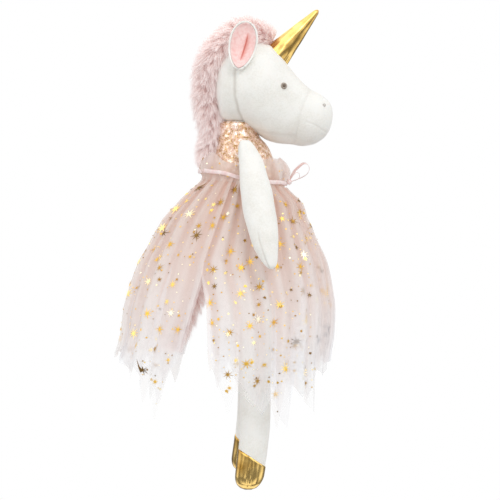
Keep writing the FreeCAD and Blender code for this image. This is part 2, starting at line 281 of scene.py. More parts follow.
def report(piece: bpy.types.Object) -> None:
    """Logs a finished piece."""
    LOG.info("%s: %d points, %d faces", piece.name, len(piece.data.vertices),
             len(piece.data.polygons))


# ---------------------------------------------------------------- finishes


def linear(code: str) -> tuple[float, float, float, float]:
    """An sRGB hex colour as a linear one."""
    parts = [int(code[i:i + 2], 16) / 255 for i in (1, 3, 5)]
    low = [p / 12.92 if p <= 0.04045 else ((p + 0.055) / 1.055) ** 2.4 for p in parts]
    return (*low, 1.0)


def add_node(tree: bpy.types.NodeTree, kind: str, links: dict | None = None,
             stops: list[tuple[float, str]] | None = None, **settings: object) -> bpy.types.Node:
    """Adds a shader node with its settings, links and colour stops.

    Args:
        tree: The material's node tree.
        kind: The node's type name, without its ShaderNode prefix.
        links: Input name or number to the output socket that feeds it, or to a plain value.
        stops: Places and hex colours along a colour ramp, rising.
        **settings: The node's own properties.

    Returns:
        The node.
    """
    node = tree.nodes.new("ShaderNode" + kind)
    for key, value in settings.items():
        setattr(node, key, value)
    for key, value in (links or {}).items():
        if isinstance(value, bpy.types.NodeSocket):
            tree.links.new(value, node.inputs[key])
        else:
            node.inputs[key].default_value = value
    for number, (position, code) in enumerate(stops or []):
        row = node.color_ramp.elements
        stop = row[number] if number < 2 else row.new(position)
        stop.position, stop.color = position, linear(code)
    return node


def new_material(name: str) -> tuple[bpy.types.Material, bpy.types.NodeTree]:
    """An empty material and its tree."""
    material = bpy.data.materials.new(name)
    material.use_nodes = True
    material.node_tree.nodes.clear()
    return material, material.node_tree


def surfaced(material: bpy.types.Material, inputs: dict) -> bpy.types.Material:
    """Ends a material with its principled shader, fed by sockets and plain values."""
    shader = add_node(material.node_tree, "BsdfPrincipled", inputs)
    add_node(material.node_tree, "OutputMaterial", {"Surface": shader.outputs[0]})
    return material


@dataclass(frozen=True)
class ShortPlush:
    """Short-pile polyester plush, knitted and brushed: a matte nap with a soft bright edge."""

    name: str = "brushed short-pile plush"
    top: str = "#faf9f4"
    low: str = "#eeece5"
    # colour painted down in the seams as their shade
    seam: str = "#cfc9c1"
    nap: float = 0.9 * MM      # width of one brushed tuft, coarser than real so that it shows

    def material(self) -> bpy.types.Material:
        """The material: mottled nap, with painted shade darker down in the seams."""
        material, tree = new_material(self.name)
        place = add_node(tree, "TexCoord").outputs["Object"]
        cloud = add_node(tree, "TexNoise", {"Vector": place, "Scale": 45.0, "Detail": 3.0})
        nap = add_node(tree, "TexNoise", {"Vector": place, "Scale": 1 / self.nap / 2, "Detail": 4.0,
                                          "Roughness": 0.7})
        mixed = add_node(tree, "Math", {0: cloud.outputs[0], 1: nap.outputs[0]}, operation="ADD")
        half = add_node(tree, "Math", {0: mixed.outputs[0], 1: 0.5}, operation="MULTIPLY")
        colour = add_node(tree, "ValToRGB", {0: half.outputs[0]},
                          stops=[(0.36, self.low), (0.56, self.top)]).outputs[0]
        # painted shade: the seam colour darkens the grooves where the seams pull in
        groove = add_node(tree, "Attribute", attribute_name="seam")
        both = add_node(tree, "MixRGB", {0: groove.outputs["Fac"], 1: colour, 2: linear(self.seam)})
        relief = add_node(tree, "Bump", {"Height": nap.outputs[0], "Strength": 0.35,
                                         "Distance": 0.5 * MM})
        return surfaced(material, {"Base Color": both.outputs[0], "Normal": relief.outputs[0],
                                   "Roughness": 0.95, "Sheen Weight": 0.45, "Sheen Roughness": 0.55,
                                   "Specular IOR Level": 0.2, "Subsurface Weight": 0.12,
                                   "Subsurface Radius": (0.002, 0.0017, 0.0015)})


@dataclass(frozen=True)
class FoilCloth:
    """Gold foil bonded to knit cloth: a bright metal skin that creases wherever it is stuffed."""

    name: str
    # the gold runs bright on the creases' crowns and deep in their hollows: painted light and shade
    bright: str = "#efcb7d"
    deep: str = "#a47a30"
    crease: float = 6 * MM
    relief: float = 0.4
    gloss: float = 0.24

    def material(self) -> bpy.types.Material:
        """The material: metal with soft creases and a fine grain, and painted shade that deepens the gold
        in the creases' hollows.
        """
        material, tree = new_material(self.name)
        place = add_node(tree, "TexCoord").outputs["Object"]
        crease_and_shade = add_node(tree, "TexNoise", {"Vector": place, "Scale": 0.5 / self.crease,
                                            "Detail": 3.0, "Distortion": 0.6})
        grain = add_node(tree, "TexNoise", {"Vector": place, "Scale": 1100.0, "Detail": 2.0})
        colour = add_node(tree, "ValToRGB", {0: crease_and_shade.outputs[0]},
                          stops=[(0.35, self.deep), (0.58, self.bright)]).outputs[0]
        height = add_node(tree, "Math", {0: grain.outputs[0], 1: 0.06, 2: crease_and_shade.outputs[0]},
                          operation="MULTIPLY_ADD")
        relief = add_node(tree, "Bump", {"Height": height.outputs[0], "Strength": self.relief,
                                         "Distance": 1.5 * MM})
        return surfaced(material, {"Base Color": colour, "Normal": relief.outputs[0], "Metallic": 1.0,
                                   "Roughness": self.gloss})


@dataclass(frozen=True)
class FoilPrint:
    """Hot-stamped foil stars: flat metal flakes that each catch the light their own way."""

    name: str = "stamped foil print"

    def material(self) -> bpy.types.Material:
        """The material: metal in each star's own tone, gold foil with painted glints and dark reflections,
        and a faint painted glow.
        """
        material, tree = new_material(self.name)
        tone = add_node(tree, "Attribute", attribute_name="tone")
        colour = add_node(tree, "ValToRGB", {0: tone.outputs["Fac"]},
                          stops=[(0.0, "#5d4522"), (0.3, "#a67c2c"), (0.55, "#e6b743"),
                                 (0.78, "#fbe08a"), (0.9, "#fff6d2"), (1.0, "#b9b7b9")]).outputs[0]
        # painted glow: each star gives off a little light in its own colour
        return surfaced(material, {"Base Color": colour, "Emission Color": colour,
                                   "Emission Strength": 0.12, "Metallic": 0.5, "Roughness": 0.35})


@dataclass(frozen=True)
class Tulle:
    """Fine nylon net in gathers: sheer, and denser wherever it folds back on itself."""

    name: str
    top: str
    # colour painted into the fold valleys as their shade
    fold: str
    hem: str
    cover_top: float
    cover_hem: float
    through: float = 0.13      # light that comes through the net from behind

    def material(self) -> bpy.types.Material:
        """The material: net whose cover falls from the waist to the hem, deeper in its folds, where painted
        shade also darkens the colour.
        """
        material, tree = new_material(self.name)
        place = add_node(tree, "TexCoord").outputs["Object"]
        uv = add_node(tree, "UVMap", uv_map="UVMap").outputs[0]
        down = add_node(tree, "SeparateXYZ", {0: uv}).outputs[1]
        fold = add_node(tree, "Attribute", attribute_name="fold").outputs["Fac"]
        stretched = add_node(tree, "Mapping", {"Vector": uv, "Scale": (9.0, 1.0, 1.0)})
        streak = add_node(tree, "TexNoise", {"Vector": stretched.outputs[0], "Scale": 1.0,
                                             "Detail": 2.0, "Roughness": 0.45})
        net = add_node(tree, "TexVoronoi", {"Vector": place, "Scale": 800.0},
                       feature="DISTANCE_TO_EDGE")
        fall = add_node(tree, "MapRange", {"Value": down, "From Min": 0.5, "From Max": 0.9,
                                           "To Min": self.cover_top, "To Max": self.cover_hem})
        uneven = add_node(tree, "MapRange", {"Value": streak.outputs[0], "From Min": 0.3,
                                             "From Max": 0.7, "To Min": -0.1, "To Max": 0.13})
        cover = add_node(tree, "Math", {0: fall.outputs[0], 1: uneven.outputs[0]}, operation="ADD")
        deeper = add_node(tree, "Math", {0: fold, 1: 0.25, 2: cover.outputs[0]},
                          operation="MULTIPLY_ADD")
        holes = add_node(tree, "MapRange", {"Value": net.outputs[0], "From Min": 0.05,
                                            "From Max": 0.4, "To Min": 0.025, "To Max": -0.03})
        alpha = add_node(tree, "Math", {0: deeper.outputs[0], 1: holes.outputs[0]},
                         operation="ADD", use_clamp=True)
        shade = add_node(tree, "ValToRGB", {0: down},
                         stops=[(0.1, self.top), (0.75, self.hem)]).outputs[0]
        # painted shade: the fold colour darkens the net down in the valleys of its folds
        both = add_node(tree, "MixRGB", {0: fold, 1: shade, 2: linear(self.fold)})
        return surfaced(material, {"Base Color": both.outputs[0], "Alpha": alpha.outputs[0],
                                   "Emission Color": both.outputs[0], "Emission Strength": self.through,
                                   "Roughness": 0.6, "Sheen Weight": 0.35, "Sheen Roughness": 0.4,
                                   "Specular IOR Level": 0.3})


@dataclass(frozen=True)
class LongFur:
    """Long-pile acrylic fur: dusty pink at the roots, paler and finer at the tips."""

    name: str = "long-pile fur"
    root: str = "#d3a6a1"
    middle: str = "#eeddd9"
    tip: str = "#fffafa"
    through: float = 0.1       # light that the fine fibres pass on from behind

    def material(self) -> bpy.types.Material:
        """The material: colour along each strand, and a different shade from strand to strand, with painted
        light brightening the strands high on the mane.
        """
        material, tree = new_material(self.name)
        along = add_node(tree, "Attribute", attribute_name="along")
        each = add_node(tree, "Attribute", attribute_name="each")
        colour = add_node(tree, "ValToRGB", {0: along.outputs["Fac"]},
                          stops=[(0.0, self.root), (0.45, self.middle), (1.0, self.tip)]).outputs[0]
        shade = add_node(tree, "HueSaturation", {"Color": colour, "Value": each.outputs["Fac"]})
        return surfaced(material, {"Base Color": shade.outputs[0], "Emission Color": shade.outputs[0],
                                   "Emission Strength": self.through, "Roughness": 0.6,
                                   "Sheen Weight": 0.3, "Specular IOR Level": 0.3})


@dataclass(frozen=True)
class Velour:
    """Pale pink velour: a low even pile that darkens where it folds away from the light."""

    name: str = "pink velour"
    top: str = "#fddfdb"
    low: str = "#f7c9c4"
    fold: str = "#e2806f"

    def material(self) -> bpy.types.Material:
        """The material: pile noise and deep pink down in the fold."""
        material, tree = new_material(self.name)
        place = add_node(tree, "TexCoord").outputs["Object"]
        nap = add_node(tree, "TexNoise", {"Vector": place, "Scale": 320.0, "Detail": 4.0})
        colour = add_node(tree, "ValToRGB", {0: nap.outputs[0]},
                          stops=[(0.3, self.low), (0.62, self.top)]).outputs[0]
        fold = add_node(tree, "Attribute", attribute_name="seam")
        both = add_node(tree, "MixRGB", {0: fold.outputs["Fac"], 1: colour, 2: linear(self.fold)})
        relief = add_node(tree, "Bump", {"Height": nap.outputs[0], "Strength": 0.3,
                                         "Distance": 0.4 * MM})
        return surfaced(material, {"Base Color": both.outputs[0], "Normal": relief.outputs[0],
                                   "Roughness": 0.9, "Sheen Weight": 0.5})


@dataclass(frozen=True)
class WovenCotton:
    """Plain woven cotton, with an optional foil scroll print over it."""

    name: str
    top: str
    low: str
    printed: bool = False

    def material(self) -> bpy.types.Material:
        """The material: a weave, and curling foil lines where it is printed."""
        material, tree = new_material(self.name)
        place = add_node(tree, "TexCoord").outputs["Object"]
        weave = add_node(tree, "TexNoise", {"Vector": place, "Scale": 600.0, "Detail": 3.0})
        colour = add_node(tree, "ValToRGB", {0: weave.outputs[0]},
                          stops=[(0.35, self.low), (0.6, self.top)]).outputs[0]
        relief = add_node(tree, "Bump", {"Height": weave.outputs[0], "Strength": 0.3,
                                         "Distance": 0.3 * MM})
        if not self.printed:
            return surfaced(material, {"Base Color": colour, "Normal": relief.outputs[0],
                                       "Roughness": 0.8})
        curl = add_node(tree, "TexNoise", {"Vector": place, "Scale": 95.0, "Detail": 1.0})
        bent = add_node(tree, "VectorMath", {0: curl.outputs[1], 1: (0.02, 0.02, 0.02)},
                        operation="MULTIPLY")
        way = add_node(tree, "VectorMath", {0: place, 1: bent.outputs[0]}, operation="ADD")
        swirl = add_node(tree, "TexVoronoi", {"Vector": way.outputs[0], "Scale": 400.0},
                         feature="DISTANCE_TO_EDGE")
        leaf = add_node(tree, "TexNoise", {"Vector": place, "Scale": 240.0, "Detail": 2.0})
        line = add_node(tree, "MapRange", {"Value": swirl.outputs[0], "From Min": 0.16,
                                           "From Max": 0.06})
        foil = add_node(tree, "ValToRGB", {0: leaf.outputs[0]},
                        stops=[(0.4, "#a57a3e"), (0.5, "#dcb884"), (0.6, "#fff4ea")]).outputs[0]
        both = add_node(tree, "MixRGB", {0: line.outputs[0], 1: colour, 2: foil})
        metal = add_node(tree, "Math", {0: line.outputs[0], 1: 0.55}, operation="MULTIPLY")
        rough = add_node(tree, "MapRange", {"Value": line.outputs[0], "To Min": 0.8, "To Max": 0.3})
        return surfaced(material, {"Base Color": both.outputs[0], "Normal": relief.outputs[0],
                                   "Metallic": metal.outputs[0], "Roughness": rough.outputs[0]})


@dataclass(frozen=True)
class Satin:
    """Narrow polyester satin ribbon: smooth long floats that shine along its length."""

    name: str = "satin ribbon"
    top: str = "#fdeeec"
    low: str = "#f0cdca"

    def material(self) -> bpy.types.Material:
        """The material: soft streaks and a broad shine."""
        material, tree = new_material(self.name)
        place = add_node(tree, "TexCoord").outputs["Object"]
        streak = add_node(tree, "TexNoise", {"Vector": place, "Scale": 130.0,
                                             "Detail": 2.0})
        colour = add_node(tree, "ValToRGB", {0: streak.outputs[0]},
                          stops=[(0.32, self.low), (0.62, self.top)]).outputs[0]
        return surfaced(material, {"Base Color": colour, "Roughness": 0.38, "Anisotropic": 0.5,
                                   "Sheen Weight": 0.2})


@dataclass(frozen=True)
class Plastic:
    """Injection-moulded plastic in a colour of its own."""

    name: str
    rim: str
    middle: str
    roughness: float = 0.22

    def material(self) -> bpy.types.Material:
        """The material: a ring of the rim's colour round the middle's, under a clear gloss; on the eye the
        paler rim is a painted reflection of the bright studio.
        """
        material, tree = new_material(self.name)
        place = add_node(tree, "TexCoord").outputs["Object"]
        ring = add_node(tree, "Attribute", attribute_name="along")
        speck = add_node(tree, "TexNoise", {"Vector": place, "Scale": 1500.0})
        colour = add_node(tree, "ValToRGB", {0: ring.outputs["Fac"]},
                          stops=[(0.0, self.rim), (0.42, self.rim), (0.62, self.middle),
                                 (1.0, self.middle)]).outputs[0]
        mix = add_node(tree, "MixRGB", {0: 0.12, 1: colour, 2: speck.outputs[1]},
                       blend_type="OVERLAY")
        return surfaced(material, {"Base Color": mix.outputs[0], "Roughness": self.roughness,
                                   "Coat Weight": 0.5})


@dataclass(frozen=True)
class Thread:
    """Twisted polyester sewing thread."""

    name: str = "sewing thread"
    colour: str = "#b9b3ad"

    def material(self) -> bpy.types.Material:
        """The material: a fine twist."""
        material, tree = new_material(self.name)
        place = add_node(tree, "TexCoord").outputs["Object"]
        twist = add_node(tree, "TexWave", {"Vector": place, "Scale": 900.0})
        tone = add_node(tree, "ValToRGB", {0: twist.outputs["Fac"]},
                        stops=[(0.2, self.colour), (0.9, "#e6e1db")]).outputs[0]
        return surfaced(material, {"Base Color": tone, "Roughness": 0.7})


class Finishes:
    """Every material, made once."""

    def __init__(self) -> None:
        """Makes them all."""
        self.plush = ShortPlush().material()
        self.foil = FoilCloth("gold foil cloth", crease=18 * MM, relief=0.07, gloss=0.22).material()
        self.smooth_foil = FoilCloth("tight gold foil", crease=22 * MM, relief=0.06, gloss=0.23).material()
        self.stars = FoilPrint().material()
        # each tulle's second colour is painted shade for the valleys of its folds
        self.star_tulle = Tulle("star tulle", "#e8d8d0", "#cfab9c", "#f2f2f2", 0.48, 0.15).material()
        self.plain_tulle = Tulle("plain tulle", "#ecdfd9", "#d7b9ab", "#f0f2f7", 0.42, 0.2).material()
        self.fur = LongFur().material()
        self.velour = Velour().material()
        self.peach = WovenCotton("peach cotton", "#f8e3d8", "#efd1c1").material()
        self.bodice = WovenCotton("foil-printed cotton", "#f3d3c4", "#e6b9a4", True).material()
        self.satin = Satin().material()
        # the eye's paler rim colour is a painted reflection of the bright studio round its dark brown
        # middle
        self.eye = Plastic("moulded eye", "#9a8c7e", "#5b4632").material()
        self.washer = Plastic("moulded washer", "#e8e8e6", "#e8e8e6", 0.6).material()
        self.thread = Thread().material()


def finish_piece(piece: bpy.types.Object, material: bpy.types.Material,
                 nodes: tuple[str, ...] = ()) -> None:
    """Gives a piece its material, hides the CAD nodes that it stands for, and logs it."""
    piece.data.materials.append(material)
    if nodes:
        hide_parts(*nodes)
    report(piece)


# ---------------------------------------------------------------- stuffed parts


@dataclass
class Head:
    """The stuffed head, sewn from cheeks, muzzle, chin gusset and nape."""

    rows: int = 170
    columns: int = 200
    seam_deep: float = 0.9 * MM
    seam_wide: float = 1.5 * MM

    # from the back to the nose: x, lowest, highest, half width
    PROFILE = [(-31.6, 92, 97, 2), (-31, 86, 103, 8), (-29.5, 79, 111, 15), (-25, 64, 122, 26),
               (-16, 59.5, 133, 33), (-4, 57.5, 141, 38), (10, 50.2, 144, 40), (24, 41.6, 142, 39),
               (36, 38.6, 131.5, 35.5), (48, 37.6, 116.5, 31.5), (60, 36, 103, 29),
               (70, 37.2, 94.5, 27.5), (80, 42, 89.3, 24), (87, 49, 84, 17.5), (91, 58, 78, 9.5),
               (92.3, 66, 71, 2.5)]
    # seams seen from the side: x, z
    MUZZLE_SEAM = [(50, 30), (52.5, 42), (55.7, 62), (60.4, 77.7), (67.2, 92.4), (70, 100)]
    JAW_SEAM = [(-6, 60.5), (9.5, 52.5), (22, 48.2), (34.7, 46.2), (52.5, 44.8), (56, 44.6)]
    NAPE_SEAM = [(1, 54), (-1, 57.8), (-6.8, 70.4), (-10.5, 86), (-10.5, 109), (-7.4, 119),
                 (-6, 145)]
    MOUTH = [(57.8, 60.9), (70.4, 56.7), (84, 49.4), (90, 47.5)]
    NOSTRIL = (82.2, 76.6)

    def surface(self) -> Grid:
        """The plain form: rounded sections along X, each a slightly squared ellipse."""
        x, low, high, wide = rows_between(self.PROFILE, self.rows) * MM
        turn = ring_turns(self.columns)
        side, up = np.sin(turn), np.cos(turn)
        square = 0.94
        side, up = np.sign(side) * abs(side) ** square, np.sign(up) * abs(up) ** square
        middle, reach = (low + high)[:, None] / 2, (high - low)[:, None] / 2
        return np.stack(np.broadcast_arrays(x[:, None], wide[:, None] * side, middle + reach * up),
                        axis=-1)

    def seams(self, grid: Grid) -> tuple[Grid, Grid, Grid]:
        """How near each point is to a seam, and to the mouth's stitched line.

        Returns:
            Three arrays from 0 to 1: the deep seam behind the head, the flat ones and the mouth.
        """
        x, y, z = np.moveaxis(grid, -1, 0)
        muzzle_line, jaw_line, nape_line, mouth_line = (
            np.array(line, float).T * MM
            for line in (self.MUZZLE_SEAM, self.JAW_SEAM, self.NAPE_SEAM, self.MOUTH))
        before = np.interp(z, muzzle_line[1], muzzle_line[0])
        muzzle = bump(x - before, self.seam_wide)
        jaw_x, jaw_z = jaw_line
        jaw = bump(z - np.interp(x, jaw_x, jaw_z), self.seam_wide)
        jaw *= soft_step(-0.008, -0.002, x) * (1 - soft_step(-0.001, 0.0015, x - before))
        nape = bump(x - np.interp(z, nape_line[1], nape_line[0]), self.seam_wide)
        top = bump(y, self.seam_wide) * (z > 0.085) * (1 - soft_step(-0.001, 0.0015, x - before))
        top *= soft_step(-0.012, -0.008, x)
        mouth_x, mouth_z = mouth_line
        mouth = bump(z - np.interp(x, mouth_x, mouth_z), 0.9 * MM)
        mouth *= soft_step(mouth_x[0], mouth_x[0] + 0.006, x)
        return nape, np.maximum.reduce([muzzle, jaw, top]), mouth

    def build(self, finishes: Finishes) -> bpy.types.Object:
        """Makes the head with its seams pulled in and the plush swelling beside them."""
        grid = self.surface()
        deep, flat, mouth = self.seams(grid)
        seam = np.maximum(deep, 0.45 * flat)
        pucker = 0.75 + 0.25 * np.sin(np.sum(grid, axis=-1) / (1.1 * MM))
        nostril = bump(np.hypot(grid[..., 0] - self.NOSTRIL[0] * MM,
                                grid[..., 2] - self.NOSTRIL[1] * MM), 2.4 * MM)
        push = 0.45 * MM * lumps(grid, 0.05, 3) - self.seam_deep * seam * pucker
        push -= 0.4 * MM * mouth + 0.5 * MM * nostril * (abs(grid[..., 1]) > 0.008)
        grid = swollen(grid, push)
        head = closed_form("head_plush", grid)
        # painted shade: darker down the seams and the mouth's line, most of all in the deep seam behind the
        # head
        note(head, "seam", np.clip(0.75 * deep + 0.2 * flat + 0.2 * mouth, 0, 1))
        finish_piece(head, finishes.plush,
                     ("muzzle_panel", "nape_panel", "chin_gusset", "cheek_panel_right",
                      "cheek_panel_left", "head_stuffing"))
        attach(head, "head")
        return head

    def skin_at(self, x: float, z: float) -> float:
        """The head's half width at a place seen from the side, in metres."""
        grid = self.surface()
        near = np.hypot(grid[..., 0] - x, grid[..., 2] - z)
        return float(abs(grid[..., 1].ravel()[np.argmin(near + (grid[..., 1] < 0))]))

    def stitch_nostrils(self, finishes: Finishes) -> None:
        """A satin-stitched dot for each nostril: a few threads side by side."""
        for side in Side:
            x, z = self.NOSTRIL[0] * MM, self.NOSTRIL[1] * MM
            y = side.value * (self.skin_at(x, z) - 0.1 * MM)
            threads, steps = 7, 9
            across = np.linspace(-1, 1, threads)[:, None]
            turn = np.linspace(0, math.pi, steps)[None, :]
            reach = 1.7 * MM * np.sqrt(1 - 0.8 * across**2)
            line = np.stack(np.broadcast_arrays(x + across * 1.5 * MM,
                                                y + side.value * 0.5 * MM * np.sin(turn),
                                                z - reach * np.cos(turn)), axis=-1)
            dot = tubes("nostril_stitches_" + side.word, line, 0.3 * MM, 6)
            finish_piece(dot, finishes.thread)
            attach(dot, "head")


def tubes(name: str, lines: Grid, radius: float, around: int) -> bpy.types.Object:
    """Round threads along several lines at once.

    Args:
        name: The piece's name.
        lines: (threads, points along, 3), in metres.
        radius: Each thread's radius.
        around: Corners round each thread.

    Returns:
        The new object: each thread is a ring of points carried along its line, with closed ends.
    """
    count, along = lines.shape[:2]
    way = np.gradient(lines, axis=1)
    way /= np.maximum(np.linalg.norm(way, axis=-1, keepdims=True), 1e-12)
    helper = np.where(abs(way[..., :1]) < 0.8, [1.0, 0, 0], [0, 1.0, 0])
    first = np.cross(way, helper)
    first /= np.linalg.norm(first, axis=-1, keepdims=True)
    second = np.cross(way, first)
    turn = np.linspace(0, 2 * math.pi, around, endpoint=False)
    ring = first[:, :, None] * np.cos(turn)[:, None] + second[:, :, None] * np.sin(turn)[:, None]
    taper = np.ones(along)
    taper[[0, -1]] = 0.05
    points = lines[:, :, None] + ring * (radius * taper)[None, :, None, None]
    faces = quads(along, around, True)
    every = faces[None] + (np.arange(count) * along * around)[:, None, None]
    return add_mesh(name, points.reshape(-1, 3), every.reshape(-1, 4))


@dataclass
class Horn:
    """A stuffed cone of gold foil cloth, wrinkled round and down its back seam."""

    base: tuple[float, float, float] = (35.2, 0, 132.8)
    tip: tuple[float, float, float] = (77.0, 0, 178.6)
    radius: float = 14.0 * MM
    sunk: float = 9 * MM

    def build(self, finishes: Finishes) -> None:
        """A cone with a rounded tip, slack wrinkles round it and a pinched seam behind."""
        base, tip = np.array(self.base) * MM, np.array(self.tip) * MM
        way = (tip - base) / np.linalg.norm(tip - base)
        side, back = np.array([0, 1.0, 0]), np.cross([0, 1.0, 0], way)
        length = np.linalg.norm(tip - base)
        rows = np.linspace(0, 1, 120)[:, None]
        turn = ring_turns(96)
        along = -self.sunk + (length + self.sunk) * np.sin(rows * math.pi / 2) ** 0.9
        share = np.clip((length - along) / length, 0, 2)
        radius = self.radius * (0.16 * np.sqrt(np.clip(share / 0.05, 0, 1)) + 0.84 * share)
        radius = np.maximum(radius, 0.05 * MM)
        wrinkle = np.sin(along / MM * 0.3 + 2.6 * np.sin(turn * 2 + 1) + 3.2 * np.sin(turn - 0.7))
        slack = 0.07 * MM * wrinkle + 0.34 * MM * np.sin(turn * 4 + 0.03 * along / MM + 0.6)
        gather = 0.5 * MM * np.sin(turn * 11) * soft_step(0.82, 1.0, share)
        seam = 0.8 * MM * bump(turn - 1.5 * math.pi, 0.09)
        radius = radius + (slack - seam) * np.clip(share * 2, 0, 1) + gather
        spokes = side * np.cos(turn)[..., None] + back * np.sin(turn)[..., None]
        grid = base + way * along[..., None] + spokes * radius[..., None]
        grid = swollen(grid, 0.12 * MM * lumps(grid, 0.05, 11, 1) * np.clip(share, 0, 1))
        horn = closed_form("horn_foil", grid)
        finish_piece(horn, finishes.smooth_foil, ("horn_shell", "horn_stuffing"))
        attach(horn, "head")


@dataclass
class Ear:
    """A cupped leaf of plush lined with velour, folded at its foot."""

    side: Side
    tall: float = 50.5 * MM
    wide: float = 14.0 * MM
    cup: float = 7.0 * MM
    clear: float = 9.5 * MM    # how much further out its foot stands, on the head's round side
    lean: float = math.radians(10.5)
    fold_at: float = 0.34      # the lining's fold, as a share of the half width in front of its middle

    def leaf(self, inset: float, depth: float) -> tuple[Grid, Grid, Grid]:
        """The cupped leaf: half width over height is a pointed oval, and it bows away from the side.

        Args:
            inset: How far its edge lies inside the ear's own.
            depth: How far the sheet lies out towards the open side.

        Returns:
            The points, and the across and up numbers of each.
        """
        up = np.linspace(0.0, 1, 60)[:, None]
        across = np.linspace(-1, 1, 49)[None, :]
        oval = np.sqrt(np.clip(1 - (2 * up - 1) ** 2, 0, 1)) * (0.82 + 0.3 * up)
        half = np.maximum(self.wide * oval - inset, 0.2 * MM)
        x = across * half
        z = inset + (self.tall - 2 * inset) * up
        bow = self.cup * (1 - across**2) * oval * (1.0 - 0.25 * up)
        fold = across - self.fold_at * up
        along = soft_step(0.1, 0.28, up) * (1 - soft_step(0.66, 0.8, up))
        pleat = (2.2 * bump(fold + 0.13, 0.12) - 1.2 * bump(fold, 0.06)) * MM * along
        y = self.cup - bow + pleat * (depth > 0) + depth
        return np.stack(np.broadcast_arrays(x, y, z), axis=-1), across + 0 * up, up + 0 * across

    def set_up(self, grid: Grid) -> Grid:
        """Leans the leaf forward and stands it on the head."""
        hinge = joint_place("ear_fold_" + self.side.word)
        x, y, z = np.moveaxis(grid, -1, 0)
        cos, sin = math.cos(self.lean), math.sin(self.lean)
        x, z = x * cos + z * sin, z * cos - x * sin
        y = abs(hinge[1]) - 8.2 * MM + self.clear * (1 - soft_step(0, 0.45, z / self.tall)) + y
        return np.stack([hinge[0] + x - 1.0 * MM, self.side.value * y, hinge[2] - 7.5 * MM + z], axis=-1)

    def build(self, finishes: Finishes) -> None:
        """Makes the plush back, its rolled rim and the velour lining."""
        back, _, _ = self.leaf(0.0, 0.0)
        outer = add_mesh("ear_plush_" + self.side.word, self.set_up(back).reshape(-1, 3),
                         quads(60, 49, False))
        thicken(outer, 1.8 * MM, 0.0)
        finish_piece(outer, finishes.plush, ("ear_outer_" + self.side.word,))
        rim = self.rim(back)
        finish_piece(rim, finishes.plush)
        lining, across, up = self.leaf(1.3 * MM, 1.1 * MM)
        inner = add_mesh("ear_velour_" + self.side.word, self.set_up(lining).reshape(-1, 3),
                         quads(60, 49, False))
        fold = across - self.fold_at * up
        # painted shade: deep pink down in the lining's fold and the hollow beside it
        painted_fold_shade = 0.55 * bump(fold - 0.12, 0.2) + bump(fold, 0.06)
        painted_fold_shade = painted_fold_shade * soft_step(0.12, 0.3, up) * (1 - soft_step(0.66, 0.84, up))
        note(inner, "seam", np.clip(painted_fold_shade, 0, 1))
        thicken(inner, 0.9 * MM, 0.0)
        finish_piece(inner, finishes.velour, ("ear_lining_" + self.side.word,))
        for piece in (outer, rim, inner):
            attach(piece, "ear_" + self.side.word)

    def rim(self, back: Grid) -> bpy.types.Object:
        """The plump edge where plush turns over to the lining."""
        edge = np.concatenate([back[:, 0], back[::-1, -1][1:]])
        edge = self.set_up(edge[None])
        return tubes("ear_rim_" + self.side.word, edge, 1.15 * MM, 12)


@dataclass
class Eye:
    """A moulded safety eye: a faceted rim round a dome."""

    side: Side
    spot: tuple[float, float] = (40.0, 95.3)
    radius: float = 3.6 * MM
    flats: int = 8             # flats round each half of the rim

    # from the back of the rim to the top of the dome: share of the radius, height
    PROFILE = [(0.75, -1.2), (1.0, -0.4), (1.0, 0.5), (0.86, 1.15), (0.7, 1.2), (0.62, 0.95),
               (0.55, 1.25), (0.4, 1.75), (0.2, 2.0), (0.02, 2.05)]

    def build(self, head: Head, finishes: Finishes) -> None:
        """A turned button: rim, groove and dome along one profile, with flats round its rim."""
        x, z = self.spot[0] * MM, self.spot[1] * MM
        y = self.side.value * head.skin_at(x, z)
        out = np.array([0.2, 0.95 * self.side.value, 0.24])
        out /= np.linalg.norm(out)
        first = np.cross(out, [0, 0, 1.0])
        first /= np.linalg.norm(first)
        second = np.cross(out, first)
        reach, height = np.array(self.PROFILE).T[..., None]
        height = height * MM
        turn = ring_turns(72)
        facet = 1 - 0.05 * abs(np.sin(turn * self.flats)) * (reach > 0.8)
        spokes = first * np.cos(turn)[..., None] + second * np.sin(turn)[..., None]
        grid = np.array([x, y, z]) + out * height[..., None]
        grid = grid + spokes * (self.radius * reach * facet)[..., None]
        eye = closed_form("eye_button_" + self.side.word, grid)
        # the rim takes the paler colour: a painted reflection of the bright studio
        note(eye, "along", np.broadcast_to(1 - reach, grid.shape[:2]))
        finish_piece(eye, finishes.eye, ("eye_" + self.side.word,))
        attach(eye, "head")


